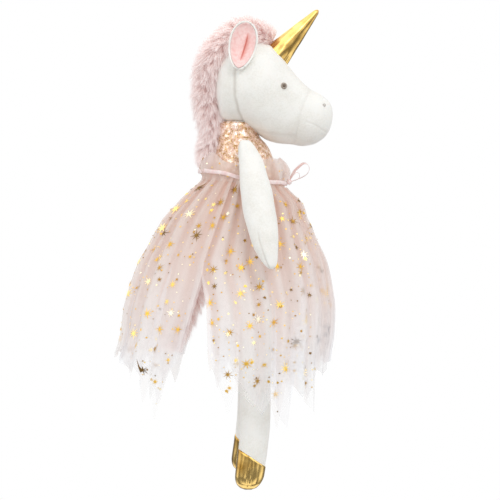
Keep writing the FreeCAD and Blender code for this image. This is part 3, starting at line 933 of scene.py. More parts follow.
@dataclass
class Arm:
    """A plain stuffed arm, seamed along its edges, with a short dart near its tip."""

    side: Side
    thin: float = 0.86

    # height, middle, half width seen from the side, distance from the doll's middle
    ROWS = [(39.2, -0.3, 1.5, 37.2), (38.6, -0.2, 4.4, 37.4), (36.4, 0.6, 6.4, 37.8),
            (31.2, 1.9, 8.8, 38.8), (25.3, 3.8, 10.7, 40.4), (18.4, 6, 12.4, 43),
            (3.6, 8.7, 14.2, 48.6), (-14.1, 11.6, 16.3, 55), (-37.5, 15.1, 16.8, 62),
            (-58.7, 19.2, 14.5, 68.5), (-71.9, 21.2, 12.3, 72.5), (-83, 24.3, 8.8, 76),
            (-89.8, 25.9, 5.4, 77.8), (-92.6, 26.4, 1.8, 78.4)]
    DART = [(-92, 24.6), (-84.7, 21.1), (-73, 17.4), (-63, 14.3), (-48, 12.2)]

    def build(self, finishes: Finishes) -> None:
        """Rings of an ellipse down the arm, with seams front and back."""
        z, x, wide, y = rows_between(self.ROWS, 150) * MM
        turn = ring_turns(80)
        front = bump(np.sin(turn), 0.09)
        up = z[:, None]
        grid = np.stack(np.broadcast_arrays(
            x[:, None] + wide[:, None] * np.cos(turn),
            self.side.value * (y[:, None] + self.thin * wide[:, None] * np.sin(turn)), up), axis=-1)
        dart_z, dart_x = np.array(self.DART).T * MM
        dart = bump(grid[..., 0] - np.interp(grid[..., 2], dart_z, dart_x), 0.8 * MM)
        dart *= (1 - soft_step(-0.066, -0.05, grid[..., 2])) * (np.sin(turn) > 0)
        seam = np.maximum(front * (wide[:, None] > 5 * MM), dart)
        pucker = 0.7 + 0.3 * np.sin(up / (0.8 * MM))
        pull = 0.8 * MM * bump(up - 30 * MM, 7 * MM) * np.sin(turn * 6)
        push = 0.4 * MM * lumps(grid, 0.045, 21 + self.side.value) - 0.7 * MM * seam * pucker + 0.35 * pull
        grid = swollen(grid, push)
        arm = closed_form("arm_plush_" + self.side.word, grid)
        # painted shade down the seams and the dart
        note(arm, "seam", 0.55 * seam)
        word = self.side.word
        finish_piece(arm, finishes.plush, ("arm_shell_" + word, "arm_stuffing_" + word))
        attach(arm, "arm_" + word)


@dataclass
class Leg:
    """A long stuffed leg in plush with a hoof of gold foil cloth sewn to its end."""

    side: Side

    # height, middle, half depth, half width
    ROWS = [(-108.2, 12, 2, 2), (-109.5, 12, 5.5, 5.5), (-113, 12, 9.8, 9.8), (-118, 12, 13.2, 13.2),
            (-124, 12, 15, 14.7), (-150, 11.6, 15.6, 15), (-200, 11, 15.8, 15.2),
            (-250, 10.4, 15.8, 15), (-281, 8.2, 15, 14), (-296, 6.2, 14.6, 13.8),
            (-306, 4.8, 14, 13.2), (-313, 3.8, 12, 11.4), (-317.5, 3.4, 8, 7.4), (-319.2, 3.4, 3.6, 3.4)]
    CUFF = [(-20, -270), (45, -308)]
    FAR_LEAN = 0.026           # the left leg hangs a little further back

    def rings(self, heights: Grid, turn: Grid) -> Grid:
        """Points of the straight leg at heights and turns."""
        rows = np.array(self.ROWS, float)[::-1] * MM
        x, deep, wide = (through(rows[:, 0], rows[:, k], heights) for k in (1, 2, 3))
        return np.stack(np.broadcast_arrays(x + deep * np.cos(turn), wide * np.sin(turn), heights), axis=-1)

    def cuff(self, turn: Grid) -> Grid:
        """Height of the hoof's slanting edge at each turn."""
        (back, high), (front, low) = self.CUFF
        x = (9.5 + 15.2 * np.cos(turn)) * MM
        return (high + (x / MM - back) / (front - back) * (low - high)) * MM

    def swing_out(self, grid: Grid) -> Grid:
        """Moves the straight leg to its hip and turns it to where the CAD leg hangs."""
        hip = joint_place("leg_swing_" + self.side.word)
        low, high = (np.array(corner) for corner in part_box("hoof_" + self.side.word))
        aim = (low + high) / 2 - hip
        angle = math.atan2(aim[1], -aim[2])
        y, z = grid[..., 1], grid[..., 2] - hip[2]
        back = self.FAR_LEAN * z * (self.side is Side.LEFT)
        turned = np.stack([grid[..., 0] + back, y * math.cos(angle) - z * math.sin(angle),
                           z * math.cos(angle) + y * math.sin(angle)], axis=-1)
        return turned + np.array([0, hip[1], hip[2]])

    def build(self, finishes: Finishes) -> None:
        """Makes the plush leg and the foil hoof."""
        word = self.side.word
        turn = ring_turns(96)
        down = np.linspace(0, 1, 150)[:, None]
        top = self.ROWS[0][0] * MM
        edge = self.cuff(turn) - 3 * MM
        share = 0.03 * np.sqrt(down) + 0.97 * down
        grid = self.rings(top + (edge - top) * share, turn)
        seam = bump(np.sin(turn), 0.07) + 0 * down
        push = 0.4 * MM * lumps(grid, 0.05, 31 + self.side.value) - 0.6 * MM * seam
        push = push - 0.5 * MM * soft_step(0.97, 1, down)
        grid = swollen(grid, push)
        leg = closed_form("leg_plush_" + word, self.swing_out(grid))
        # painted shade down the side seams
        note(leg, "seam", 0.5 * seam)
        finish_piece(leg, finishes.plush, ("leg_shell_" + word, "leg_stuffing_" + word))
        hoof = self.hoof(turn)
        finish_piece(hoof, finishes.foil, ("hoof_" + word,))
        for piece in (leg, hoof):
            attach(piece, "leg_" + word)

    def hoof(self, turn: Grid) -> bpy.types.Object:
        """The foil hoof: a little fuller than the leg, creased, with a seam up its side."""
        down = np.linspace(0, 1, 90)[:, None]
        edge = self.cuff(turn)
        low = self.ROWS[-1][0] * MM
        heights = edge + (low - edge) * (0.08 * down + 0.92 * np.sin(down * math.pi / 2) ** 1.15)
        grid = self.rings(heights, turn)
        creases = np.sin(turn * 5 + 4 * down) * np.sin(down * 8 + 2.0 * np.sin(turn * 3))
        fade = np.sin(math.pi * np.clip(down * 1.02, 0, 1))
        seam = bump(np.sin((turn + math.pi / 2) / 2), 0.05)
        roll = 0.75 * MM * np.sqrt(np.clip(down / 0.05, 0, 1))
        push = roll + (0.16 * MM * creases + 0.4 * MM * lumps(grid, 0.03, 41, 1)) * fade
        push = push - 0.8 * MM * seam * fade
        grid = swollen(grid, push)
        inside = self.rings(edge + 0 * edge, turn)
        inside = inside - outward(np.concatenate([inside, inside - [0, 0, 0.001]]))[:1] * 1.5 * MM
        return closed_form("hoof_foil_" + self.side.word, self.swing_out(np.concatenate([inside, grid])))


@dataclass
class Body:
    """The stuffed body in peach cotton, and the high-necked printed bodice over its chest."""

    # height, middle, half depth, half width
    TORSO = [(-107, 10.5, 3, 4), (-106, 10.5, 12, 14), (-101, 10, 23, 25), (-90, 8.5, 31, 31),
             (-70, 6, 36.5, 36), (-45, 3.5, 38.5, 36.5), (-20, 1, 38.5, 34), (0, -1, 36.3, 30.8),
             (15, -2.5, 32.5, 27.6), (24, -3, 27, 23), (27, -3, 10, 9)]
    BODICE = [(-5, -1, 36.9, 31.6), (0, -1, 37.4, 32), (15, -2.4, 33.8, 28.9), (30, -3.4, 30, 26.8),
              (38, -5, 27.2, 24), (44, -7.2, 23.8, 21.4), (50, -8.3, 21.6, 19.8),
              (58, -8.6, 19.5, 18.5), (60.5, -8.4, 17, 16)]
    SHOULDER = 5.2 * MM        # how far the cloth is drawn out to each arm's stitches

    def form(self, rows: list[tuple[float, ...]], seed: int) -> Grid:
        """Level ellipses up the body, lumpy with stuffing, with a seam down each side."""
        z, x, deep, wide = rows_between(rows, 120) * MM
        turn = ring_turns(128)
        grid = np.stack(np.broadcast_arrays(x[:, None] + deep[:, None] * np.cos(turn),
                                            wide[:, None] * np.sin(turn), z[:, None]), axis=-1)
        seam = bump(np.cos(turn), 0.04)
        push = 0.5 * MM * lumps(grid, 0.04, seed) - 0.6 * MM * seam
        return swollen(grid, push)

    def build(self, finishes: Finishes) -> None:
        """Makes the body and the bodice."""
        torso = closed_form("torso_cotton", self.form(self.TORSO, 5))
        finish_piece(torso, finishes.peach, ("torso_shell", "torso_stuffing"))
        cover = self.form(self.BODICE, 6)
        away = np.hypot(cover[..., 0] - 3 * MM, cover[..., 2] - 31 * MM)
        cover[..., 1] += self.SHOULDER * np.exp(-((away / (9 * MM)) ** 2)) * np.sign(cover[..., 1])
        bodice = closed_form("bodice_print", cover)
        finish_piece(bodice, finishes.bodice, ("bodice",))
        for piece in (torso, bodice):
            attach(piece, "torso")


# ---------------------------------------------------------------- fur


@dataclass
class Fur:
    """Long-pile fur: a soft roll under thousands of tapered strands gathered into tufts."""

    name: str
    body: str
    nodes: tuple[str, ...]
    rows: list[tuple[float, ...]]
    strands: int
    length: float
    sweep: float               # how strongly the strands lie along the roll
    seed: int
    tip_z: float = -1.0        # no strand reaches lower than this
    per_tuft: int = 34         # strands gathered to one tip
    half_wide: float = 0.17 * MM   # half a strand's width at its root

    def roll(self, share: float) -> Grid:
        """The roll under the strands: leaned ellipses along the doll's middle.

        Args:
            share: Its thickness as a share of the fur's.

        Returns:
            Rings of points.
        """
        x, z, thick, wide, lean = rows_between(self.rows, 90)
        turn = ring_turns(48)
        lean = np.radians(lean)[:, None]
        out = thick[:, None] * share * np.cos(turn)
        points = (x[:, None] + out * np.cos(lean), wide[:, None] * share * np.sin(turn),
                  z[:, None] + out * np.sin(lean))
        return np.stack(points, axis=-1) * MM

    def build(self, finishes: Finishes) -> None:
        """Makes the roll and its strands."""
        base = closed_form(self.name + "_pile", self.roll(0.62))
        note(base, "along", np.full(len(base.data.vertices), 0.3))
        note(base, "each", np.full(len(base.data.vertices), 1.0))
        finish_piece(base, finishes.fur, self.nodes)
        strands = self.comb()
        finish_piece(strands, finishes.fur)
        for piece in (base, strands):
            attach(piece, self.body)

    def comb(self) -> bpy.types.Object:
        """Every strand at once: a quadratic curve from its root, swept and gathered to its tuft's tip."""
        rng = np.random.default_rng(self.seed)
        grid = self.roll(0.6)
        out, along = outward(grid), np.gradient(grid, axis=0)
        along /= np.maximum(np.linalg.norm(along, axis=-1, keepdims=True), 1e-9)
        row = rng.uniform(0, grid.shape[0] - 1.001, self.strands)
        column = rng.uniform(0, grid.shape[1], self.strands)
        r, c = row.astype(int), column.astype(int) % grid.shape[1]
        f, g = (row % 1)[:, None], (column % 1)[:, None]
        after = (c + 1) % grid.shape[1]
        root = (grid[r, c] * (1 - f) + grid[r + 1, c] * f) * (1 - g) + g * (
            grid[r, after] * (1 - f) + grid[r + 1, after] * f)
        normal, flow = out[r, c], along[r, c]
        tufts = rng.integers(0, self.strands, self.strands // self.per_tuft)
        nearest = self.nearest(root, root[tufts])
        own = normal + self.sweep * flow + rng.normal(scale=0.3, size=root.shape)
        own /= np.linalg.norm(own, axis=1, keepdims=True)
        reach = self.length * rng.uniform(0.5, 1.25, (self.strands, 1))
        tuft_way = (normal[tufts] + self.sweep * flow[tufts] + rng.normal(scale=0.3, size=(len(tufts), 3)))
        tuft_way /= np.linalg.norm(tuft_way, axis=1, keepdims=True)
        tuft_tip = root[tufts] + tuft_way * self.length * 1.12
        tip = root + own * reach
        gather = rng.uniform(0.2, 0.8, (self.strands, 1))
        tip = tip + (tuft_tip[nearest] - tip) * gather
        tip[:, 2] -= 0.15 * self.length
        tip[:, 2] = np.maximum(tip[:, 2], self.tip_z)
        middle = root + normal * reach * 0.55 + (tip - root) * 0.12
        steps = np.array([0.0, 0.36, 0.72, 1.0])
        curve = ((1 - steps) ** 2)[:, None, None] * root + (2 * steps * (1 - steps))[:, None, None] * middle
        curve = curve + (steps**2)[:, None, None] * tip
        blade = np.cross(tip - root, rng.normal(size=root.shape))
        blade /= np.maximum(np.linalg.norm(blade, axis=1, keepdims=True), 1e-9)
        wide = self.half_wide * np.array([1.0, 0.8, 0.45])
        left = curve[:3] + blade * wide[:, None, None]
        right = curve[:3] - blade * wide[:, None, None]
        points = np.stack([left[0], right[0], left[1], right[1], left[2], right[2], curve[3]], axis=1)
        start = np.arange(self.strands)[:, None] * 7
        strips = np.concatenate([start + [0, 1, 3, 2], start + [2, 3, 5, 4]])
        tips = start + [4, 5, 6]
        fur = add_mesh(self.name + "_strands", points.reshape(-1, 3), [strips, tips])
        # painted light: strands rooted high on the mane are brighter, as if lit from above
        painted_top_light = 0.1 * soft_step(0.11, 0.15, root[:, 2])
        shade = np.repeat(rng.uniform(0.9, 1.15, self.strands) + painted_top_light, 7)
        note(fur, "along", np.tile([0.0, 0.0, 0.4, 0.4, 0.75, 0.75, 1.0], self.strands))
        note(fur, "each", shade)
        return fur

    @staticmethod
    def nearest(points: Grid, centres: Grid) -> Grid:
        """The number of the centre nearest to each point, in blocks to save memory."""
        found = [np.argmin(((block[:, None] - centres[None]) ** 2).sum(axis=-1), axis=1)
                 for block in np.array_split(points, 24)]
        return np.concatenate(found)


# ---------------------------------------------------------------- tulle dress


@dataclass
class Panel:
    """One gathered tulle panel, as a formula from across and down numbers to points."""

    name: str
    node: str
    rear: tuple[tuple[float, float], ...]   # its rear edge seen from the side: x, z
    hem: tuple[tuple[float, float], ...]    # its hem seen from the side: x, z, tips and notches
    inset: float               # how far it lies inside the skirt's outline, mm
    front_inset: float         # the same at the front
    side: int                  # -1 right, 1 left, 0 for the back panel
    seed: int
    far_hem: tuple[tuple[float, float], ...] = ()   # the left half's hem of a back panel

    # height, middle, half depth, half width
    OUTLINE = [(12, -2.5, 41, 33.4), (0, -2.5, 44.5, 36), (-10, -5.5, 52.5, 38), (-23, -5, 66, 41),
               (-42, -9.5, 78.5, 46), (-67, -10.5, 91.5, 52.5), (-86, -12, 101, 58.5),
               (-111, -14.7, 108, 67), (-137, -16.7, 113, 76), (-162, -18.8, 114, 84),
               (-189, -24, 115.5, 90), (-262, -24, 114, 94)]
    WAIST_SLOPE = -0.17
    HEM_LEVEL = -200.0         # the hem's places along x are read where the skirt is this low
    LOWEST = -262.0            # no hem hangs below this height
    STEEP = 0.92               # height lost for each length down the sloping cloth
    FOLDS = ((7.4, 4.6, 0.6), (3.3, 5.2, 0.1), (13.0, 0.9, 0.4))   # count, depth, share at waist

    def ring(self, z: Grid) -> tuple[Grid, Grid, Grid]:
        """Middle, half depth and half width of the skirt at a height, in millimetres."""
        rows = np.array(self.OUTLINE, float)[::-1]
        return tuple(through(rows[:, 0], rows[:, k], z) for k in (1, 2, 3))

    def rear_turn(self, z: Grid) -> Grid:
        """Turn from the front, in radians, of the panel's rear edge at a height."""
        edge = np.array(self.rear)[::-1]
        middle, deep, _ = self.ring(z)
        return np.arccos(np.clip((np.interp(z, edge[:, 1], edge[:, 0]) - middle) / deep, -0.97, 0.97))

    def turn(self, across: Grid, z: Grid) -> Grid:
        """Turn of the cloth at an across number and a height."""
        rear = self.rear_turn(z)
        if self.side:
            return across * rear
        return rear + across * (2 * math.pi - 2 * rear)

    def hem_at(self, across: Grid) -> Grid:
        """The hem's height: it falls from each notch to the next tip along a steepening curve."""
        level = np.full_like(across, self.HEM_LEVEL)
        middle, deep, _ = self.ring(level)
        x = middle + deep * np.cos(self.turn(across, level))
        found = self.shards(np.array(self.hem), x)
        if self.far_hem:
            found = np.where(across < 0.5, self.shards(np.array(self.far_hem), x), found)
        return found

    @staticmethod
    def shards(table: Grid, x: Grid) -> Grid:
        """Heights read from a row of tips and notches."""
        place = np.clip(np.searchsorted(table[:, 0], x) - 1, 0, len(table) - 2)
        t = np.clip((x - table[place, 0]) / (table[place + 1, 0] - table[place, 0]), 0, 1)
        start, end = table[place, 1], table[place + 1, 1]
        share = np.where(end < start, t, 1 - t)
        notch, tip = np.maximum(start, end), np.minimum(start, end)
        return notch + (tip - notch) * share**1.35

    def folds(self, across: Grid, down: Grid) -> Grid:
        """How deep the cloth lies in its folds, from 0 on a ridge to 1 in a valley, summed in mm."""
        rng = np.random.default_rng(self.seed)
        total = np.zeros_like(across)
        for count, depth, at_waist in self.FOLDS:
            count = count * (1 if self.side else 1.4)
            warp = rng.uniform(0.3, 0.8) * np.sin(across * rng.uniform(5, 9) + rng.uniform(0, 6)
                                                  + 1.3 * down)
            wave = 0.5 - 0.5 * np.sin(2 * math.pi * (across * count + rng.uniform()) + warp * 3.2)
            grow = at_waist + (1 - at_waist) * np.clip(down, 0, 1) ** 0.8
            total += depth * grow * wave**1.4
        gathers = 0.5 + 0.5 * np.sin(2 * math.pi * across * 31 + 2 * np.sin(across * 17))
        return total + 1.1 * gathers * np.exp(-np.clip(down, 0, 1) * 9)

    def waist(self, across: Grid) -> Grid:
        """Height of the sloping gathers at the waist."""
        turn = self.turn(across, np.zeros_like(across))
        _, middle, deep, _ = self.OUTLINE[1]
        return self.WAIST_SLOPE * (middle + deep * np.cos(turn)) - 1.0

    def hem_share(self, across: Grid) -> Grid:
        """How far down the cloth reaches at each across number."""
        top = self.waist(across)
        return (self.hem_at(across) - top) / (self.LOWEST - top)

    def near(self, across: Grid, down: Grid, right: Grid, up: Grid) -> tuple[Grid, Grid]:
        """Across and down numbers of places some metres right of and above others.

        The way is measured on the skirt's smooth outline, so that a print keeps its shape
        whatever the folds under it.
        """
        top = self.waist(across)
        z = top + (self.LOWEST - top) * down
        _, deep, wide = self.ring(z)
        turn = self.turn(across, z)
        turn = turn + right / MM / np.hypot(deep * np.sin(turn), wide * np.cos(turn))
        z = z + up / MM * self.STEEP
        rear = self.rear_turn(z)
        found = turn / rear if self.side else (turn - rear) / (2 * math.pi - 2 * rear)
        found = np.clip(found, 0.001, 0.999)
        top = self.waist(found)
        return found, np.clip((z - top) / (self.LOWEST - top), 0, self.hem_share(found))

    def point(self, across: Grid, down: Grid) -> Grid:
        """The cloth at across (0 to 1 round the panel) and down (0 waist to 1 the lowest level).

        The height falls evenly from the sloping waist. The turn runs between the panel's edges at
        that height. The radius is the skirt's outline less its folds.
        """
        top = self.waist(across)
        z = top + (self.LOWEST - top) * down
        turn = self.turn(across, z)
        middle, deep, wide = self.ring(z)
        front = soft_step(0.55, 0.95, np.cos(turn)) * np.clip(down * 2.5, 0, 1)
        inner = self.inset + (self.front_inset - self.inset) * front + self.folds(across, down)
        x = middle + (deep - inner) * np.cos(turn)
        y = (wide - inner) * np.sin(turn)
        if self.side:
            y = self.side * y
        return np.stack([x, y, z], axis=-1) * MM

    def mesh(self, rows: int = 120, columns: int = 360) -> bpy.types.Object:
        """The panel as a fine net of faces with its UV map, each column ending at the hem."""
        down, across = np.meshgrid(np.linspace(0, 1, rows), np.linspace(0, 1, columns), indexing="ij")
        share = self.hem_share(across[0])
        last = np.minimum(np.ceil(share * (rows - 1)).astype(int), rows - 1)
        down = np.minimum(down, share)
        number = np.minimum(np.arange(rows)[:, None], last) * columns + np.arange(columns)
        a, b, c, d = number[:-1, :-1], number[:-1, 1:], number[1:, 1:], number[1:, :-1]
        faces = np.concatenate([np.stack(three, -1).reshape(-1, 3) for three in ((a, b, c), (a, c, d))])
        whole = (faces[:, 0] != faces[:, 1]) & (faces[:, 1] != faces[:, 2]) & (faces[:, 0] != faces[:, 2])
        kept, faces = np.unique(faces[whole], return_inverse=True)
        across, down = across.ravel()[kept], down.ravel()[kept]
        piece = add_mesh(self.name, self.point(across, down), faces.reshape(-1, 3))
        lay_uv(piece, across, down)
        depth = self.folds(across, down)
        # fold: denser net and painted shade in the fold valleys, fading down the skirt
        note(piece, "fold", soft_step(0.6, 3.4, depth - 1.8 * down) * np.exp(-2.0 * down))
        return piece

    def flat_size(self) -> tuple[float, float, float]:
        """Width and length of the cut piece, and its area, as laid flat, in metres.

        The width is the cloth's length round its folds just above the hem, and the length is its
        longest drop. A notched hem fills only part of that rectangle, so the width is kept between
        the least that holds the area and about three times it.
        """
        across = np.linspace(0, 1, 400)
        low = self.point(across, self.hem_share(across) * 0.9)
        width = float(np.linalg.norm(np.diff(low, axis=0), axis=1).sum())
        down, wide = np.meshgrid(np.linspace(0, 1, 90), np.linspace(0, 1, 300), indexing="ij")
        grid = self.point(wide, np.minimum(down, self.hem_share(wide)))
        one = np.diff(grid, axis=0)[:, :-1]
        two = np.diff(grid, axis=1)[:-1]
        area = float(np.linalg.norm(np.cross(one, two), axis=-1).sum())
        length = float(np.linalg.norm(one, axis=-1).sum(axis=0).max())
        width = min(max(width, area / length * 1.02), area / length / 0.32)
        return width, length, area


@dataclass
class StarPrint:
    """Foil starbursts, small stars and dust stamped on one tulle panel."""

    panel: "Panel | Ruffle"
    bursts: int
    smalls: int
    dust: int
    seed: int
    rise: float = 0.6 * MM

    TONES = [0.1, 0.3, 0.48, 0.6, 0.75, 0.88]      # bronze to pale gold, gold foil with painted dark reflections and glints, and how often each comes
    CHANCES = [0.1, 0.16, 0.2, 0.24, 0.2, 0.1]

    def build(self, finishes: Finishes) -> bpy.types.Object:
        """Lays every flake through the panel's own formula, so that it follows each fold."""
        rng = np.random.default_rng(self.seed)
        kinds = [(self.bursts, 8, (6.2, 8.4), 0.2), (self.bursts * 2 // 3, 7, (3.2, 5.0), 0.25),
                 (self.smalls, 5, (1.9, 2.8), 0.42), (self.dust, 5, (0.5, 1.0), 0.85)]
        points, faces, tones, start = [], [], [], 0
        for count, rays, (least, most), waist in kinds:
            across, down = self.scatter(rng, count)
            size = rng.uniform(least, most, count)[:, None] * MM
            step = math.pi / rays
            turn = rng.uniform(0, 2 * math.pi, count)[:, None] + np.arange(rays)[None, :] * 2 * step
            tips = size * rng.uniform(0.62, 1.0, (count, rays))
            turns = np.concatenate([0 * size, turn, turn + step, turn], axis=1)
            reach = np.concatenate([0 * size, tips, size * waist + 0 * turn, tips * 0.5], axis=1)
            spots = self.raised(*self.panel.near(across[:, None], down[:, None],
                                                 reach * np.cos(turns), reach * np.sin(turns)))
            points.append(spots.reshape(-1, 3))
            ray = np.arange(rays)
            tip, left, right, mid = 1 + ray, 1 + rays + (ray - 1) % rays, 1 + rays + ray, 1 + 2 * rays + ray
            star = np.concatenate([np.stack(three, axis=-1) for three in
                                   ((0 * ray, left, mid), (0 * ray, mid, right), (left, tip, mid),
                                    (right, mid, tip))])
            corners = 3 * rays + 1
            base = start + np.arange(count)[:, None, None] * corners
            faces.append((star[None] + base).reshape(-1, 3))
            tone = rng.choice(self.TONES, count, p=self.CHANCES)
            silver = (down > 0.5) & (across < 0.3) & (self.panel.side != 0)
            tone = np.where(silver, 1.0, tone + rng.uniform(-0.05, 0.05, count))
            tones.append(np.repeat(tone, corners))
            start += count * corners
        stars = add_mesh(self.panel.name.replace("tulle", "stars"), np.concatenate(points),
                         np.concatenate(faces), smooth=False)
        note(stars, "tone", np.concatenate(tones))
        finish_piece(stars, finishes.stars)
        return stars

    def scatter(self, rng: np.random.Generator, count: int) -> tuple[Grid, Grid]:
        """Even, jittered places over the panel, thinner near the waist where it is narrow."""
        across = rng.uniform(0.02, 0.98, count * 3)
        down = rng.uniform(0.01, 0.9, count * 3) ** 0.66 * self.panel.hem_share(across)
        keep: list[int] = []
        spots = self.panel.point(across, down)
        gap = 0.55 * math.sqrt(0.055 / max(count, 1))
        for number in range(count * 3):
            if all(np.linalg.norm(spots[keep] - spots[number], axis=1) > gap) if keep else True:
                keep.append(number)
            if len(keep) == count:
                break
        rest = [n for n in range(count * 3) if n not in set(keep)][: count - len(keep)]
        chosen = np.array(keep + rest)
        return across[chosen], down[chosen]

    def raised(self, across: Grid, down: Grid) -> Grid:
        """Points on the cloth, lifted off its outer face."""
        step = 0.002
        here = self.panel.point(across, down)
        one = self.panel.point(across + step, down) - here
        two = self.panel.point(across, down + step) - here
        up = np.cross(one, two)
        up /= np.maximum(np.linalg.norm(up, axis=-1, keepdims=True), 1e-12)
        middle = np.array([-0.012, 0, 0]) + here * [0, 0, 1]
        sign = np.sign(np.sum(up * (here - middle), axis=-1, keepdims=True))
        return here + up * sign * self.rise


REAR_MAIN = ((-13.0, 12.0), (-13.0, 0.0), (-47.0, -84.0), (-46.0, -99.0), (-40.0, -130.0),
             (-38.0, -181.0), (-36.0, -262.0))
REAR_BACK = ((-12.0, 12.0), (-12.0, 0.0), (-41.0, -84.0), (-43.5, -99.0), (-66.0, -174.0),
             (-74.0, -200.0), (-88.0, -262.0))
STAR_RIGHT = ((-38.5, -176), (-35.7, -196), (-34, -192), (-17, -237), (-8, -214), (10, -230),
              (20, -214), (37.5, -255), (45, -206), (47, -206), (76.6, -242), (82, -205), (92, -182))
PLAIN_RIGHT = ((-38.5, -168), (-28, -212), (-18, -196), (21, -238), (30, -222), (49, -253),
               (54, -200), (70, -226), (80, -188), (91, -190))
STAR_LEFT = ((-38.5, -180), (-31, -205), (-24, -188), (-4, -240), (8, -205), (26, -236),
             (36, -203), (54, -246), (62, -206), (75, -233), (82, -195), (92, -184))
PLAIN_LEFT = ((-38.5, -170), (-26, -214), (-13, -190), (10, -230), (20, -200), (42, -240),
              (50, -205), (66, -234), (76, -196), (86, -210), (92, -190))
STAR_BACK = ((-140, -188), (-131, -168), (-118.6, -206), (-112, -182), (-106.5, -229.6),
             (-97, -196), (-85.6, -246), (-78, -196), (-67, -174), (-60, -172))
PLAIN_BACK = ((-140, -186), (-126, -200), (-119, -184), (-110, -216), (-102, -192), (-93, -232),
              (-84, -198), (-66, -180))
STAR_BACK_FAR = ((-140, -180), (-126, -206), (-118, -180), (-100, -238), (-90, -196), (-76, -220),
                 (-66, -172))
PLAIN_BACK_FAR = ((-140, -176), (-120, -212), (-110, -184), (-90, -226), (-80, -190), (-66, -186))


@dataclass
class Skirt:
    """The dress's skirt: star tulle over plain tulle, split behind each side."""

    SIDE_STARS = (46, 60, 380)     # bursts, small stars and dust on a side panel
    BACK_STARS = (46, 50, 320)

    def panels(self) -> list[Panel]:
        """Every panel, from the outside in; the plain net shows beyond the stars in front."""
        made = []
        for side, star, plain, seed in ((Side.RIGHT, STAR_RIGHT, PLAIN_RIGHT, 51),
                                        (Side.LEFT, STAR_LEFT, PLAIN_LEFT, 52)):
            word, number = side.word, side.value
            made.append(Panel("tulle_star_" + word, "star_tulle_" + word, REAR_MAIN, star, 0.3, 4.5,
                              number, seed))
            made.append(Panel("tulle_plain_" + word, "plain_tulle_" + word, REAR_MAIN, plain, 4.5,
                              -0.5, number, seed + 10))
        made.append(Panel("tulle_star_back", "star_tulle_back", REAR_BACK, STAR_BACK, 0.3, 0.3, 0,
                          53, STAR_BACK_FAR))
        made.append(Panel("tulle_plain_back", "plain_tulle_back", REAR_BACK, PLAIN_BACK, 4.5, 4.5, 0,
                          63, PLAIN_BACK_FAR))
        return made

    def build(self, finishes: Finishes) -> None:
        """Makes each panel and its print, and bakes their placement into their meshes."""
        for panel in self.panels():
            star = "star" in panel.name
            piece = panel.mesh()
            material = finishes.star_tulle if star else finishes.plain_tulle
            finish_piece(piece, material, (panel.node,))
            width, length, area = panel.flat_size()
            print_piece = None
            if star:
                amount = self.SIDE_STARS if panel.side else self.BACK_STARS
                print_piece = StarPrint(panel, *amount, panel.seed).build(finishes)
            with_pieces = [print_piece] if print_piece else []
            for cloth in [piece] + with_pieces:
                self.hang(cloth, panel)

    def hang(self, cloth: bpy.types.Object, panel: Panel) -> None:
        """Bakes the cloth's placement into its mesh, for side and back panels alike."""
        if not panel.side:
            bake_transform(cloth)
            return
        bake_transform(cloth)


@dataclass
class Ruffle:
    """The skirt's own top edge, standing up as a gathered frill above the ribbon."""

    name: str = "tulle_ruffle"
    side: int = 0
    girth: float = 0.255       # its length round the waist
    tall: float = 0.026

    # height, middle, half depth, half width
    ROWS = [(-5, -2.5, 43.5, 34), (0, -2.5, 44.6, 34), (5, -2.3, 47.2, 33.4), (11, -2, 48.6, 32.6),
            (18, -2.4, 46, 31.6), (24, -4, 41, 30.6), (28, -5, 37, 30)]

    def point(self, across: Grid, up: Grid) -> Grid:
        """A puffed band, gathered at the ribbon, lower at the sides than behind and in front."""
        rows = np.array(self.ROWS, float)
        turn = 2 * math.pi * across
        ends = soft_step(0.1, 0.85, abs(np.cos(turn)))
        high = 15.5 + 8.0 * ends + 5.0 * soft_step(0.4, 1, -np.cos(turn))
        ragged = 0.7 * np.sin(turn * 5 + 1) + 0.5 * np.sin(turn * 11 + 2)
        shown = -5 + (high + 5) * up
        middle, deep, wide = (through(rows[:, 0], rows[:, k], np.clip(shown, -5, 28)) for k in (1, 2, 3))
        puff = np.sin(math.pi * np.clip(up, 0, 1) ** 0.8)
        slow = 1.6 * np.sin(turn * 7 + 0.8 + 1.2 * up) + 1.1 * np.sin(turn * 12 + 2.1 - up)
        fine = 0.5 * np.sin(turn * 26 + 2 * np.sin(turn * 3)) + 0.25 * np.sin(turn * 41 + up)
        fold = slow * (0.25 + 0.75 * puff) + fine * (1 - 0.5 * puff) - 1.6
        reach = 0.4 + 0.6 * abs(np.cos(turn))
        slope = -0.12 * 44 * np.cos(turn) * (1 - 0.8 * up)
        return np.stack([middle + (deep + fold) * np.cos(turn), (wide + fold * reach * 0.6) * np.sin(turn),
                         shown + slope + ragged * up**2], axis=-1) * MM

    def hem_share(self, across: Grid) -> Grid:
        """The frill's cut edge lies at one level."""
        return np.ones_like(across)

    def near(self, across: Grid, up: Grid, right: Grid, rise: Grid) -> tuple[Grid, Grid]:
        """Across and up numbers of places some metres right of and above others."""
        return (across + right / self.girth) % 1.0, np.clip(up + rise / self.tall, 0.05, 0.98)

    def build(self, finishes: Finishes) -> None:
        """Makes the frill and its dust of foil."""
        rows, columns = 40, 520
        up, across = np.meshgrid(np.linspace(0, 1, rows), np.linspace(0, 1, columns, endpoint=False),
                                 indexing="ij")
        grid = self.point(across, up)
        frill = add_mesh(self.name, grid.reshape(-1, 3), quads(rows, columns, True))
        lay_uv(frill, across * 2, 0.4 * up)
        # fold: painted shade in the frill's broad folds
        note(frill, "fold", 0.3 - 0.3 * np.sin(across * 2 * math.pi * 12 + 2.1 - up) * (1 - 0.5 * up))
        finish_piece(frill, finishes.star_tulle, ("waist_ruffle",))
        dust = StarPrint(self, 2, 6, 60, 83).build(finishes)
        for piece in (frill, dust):
            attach(piece, "torso")


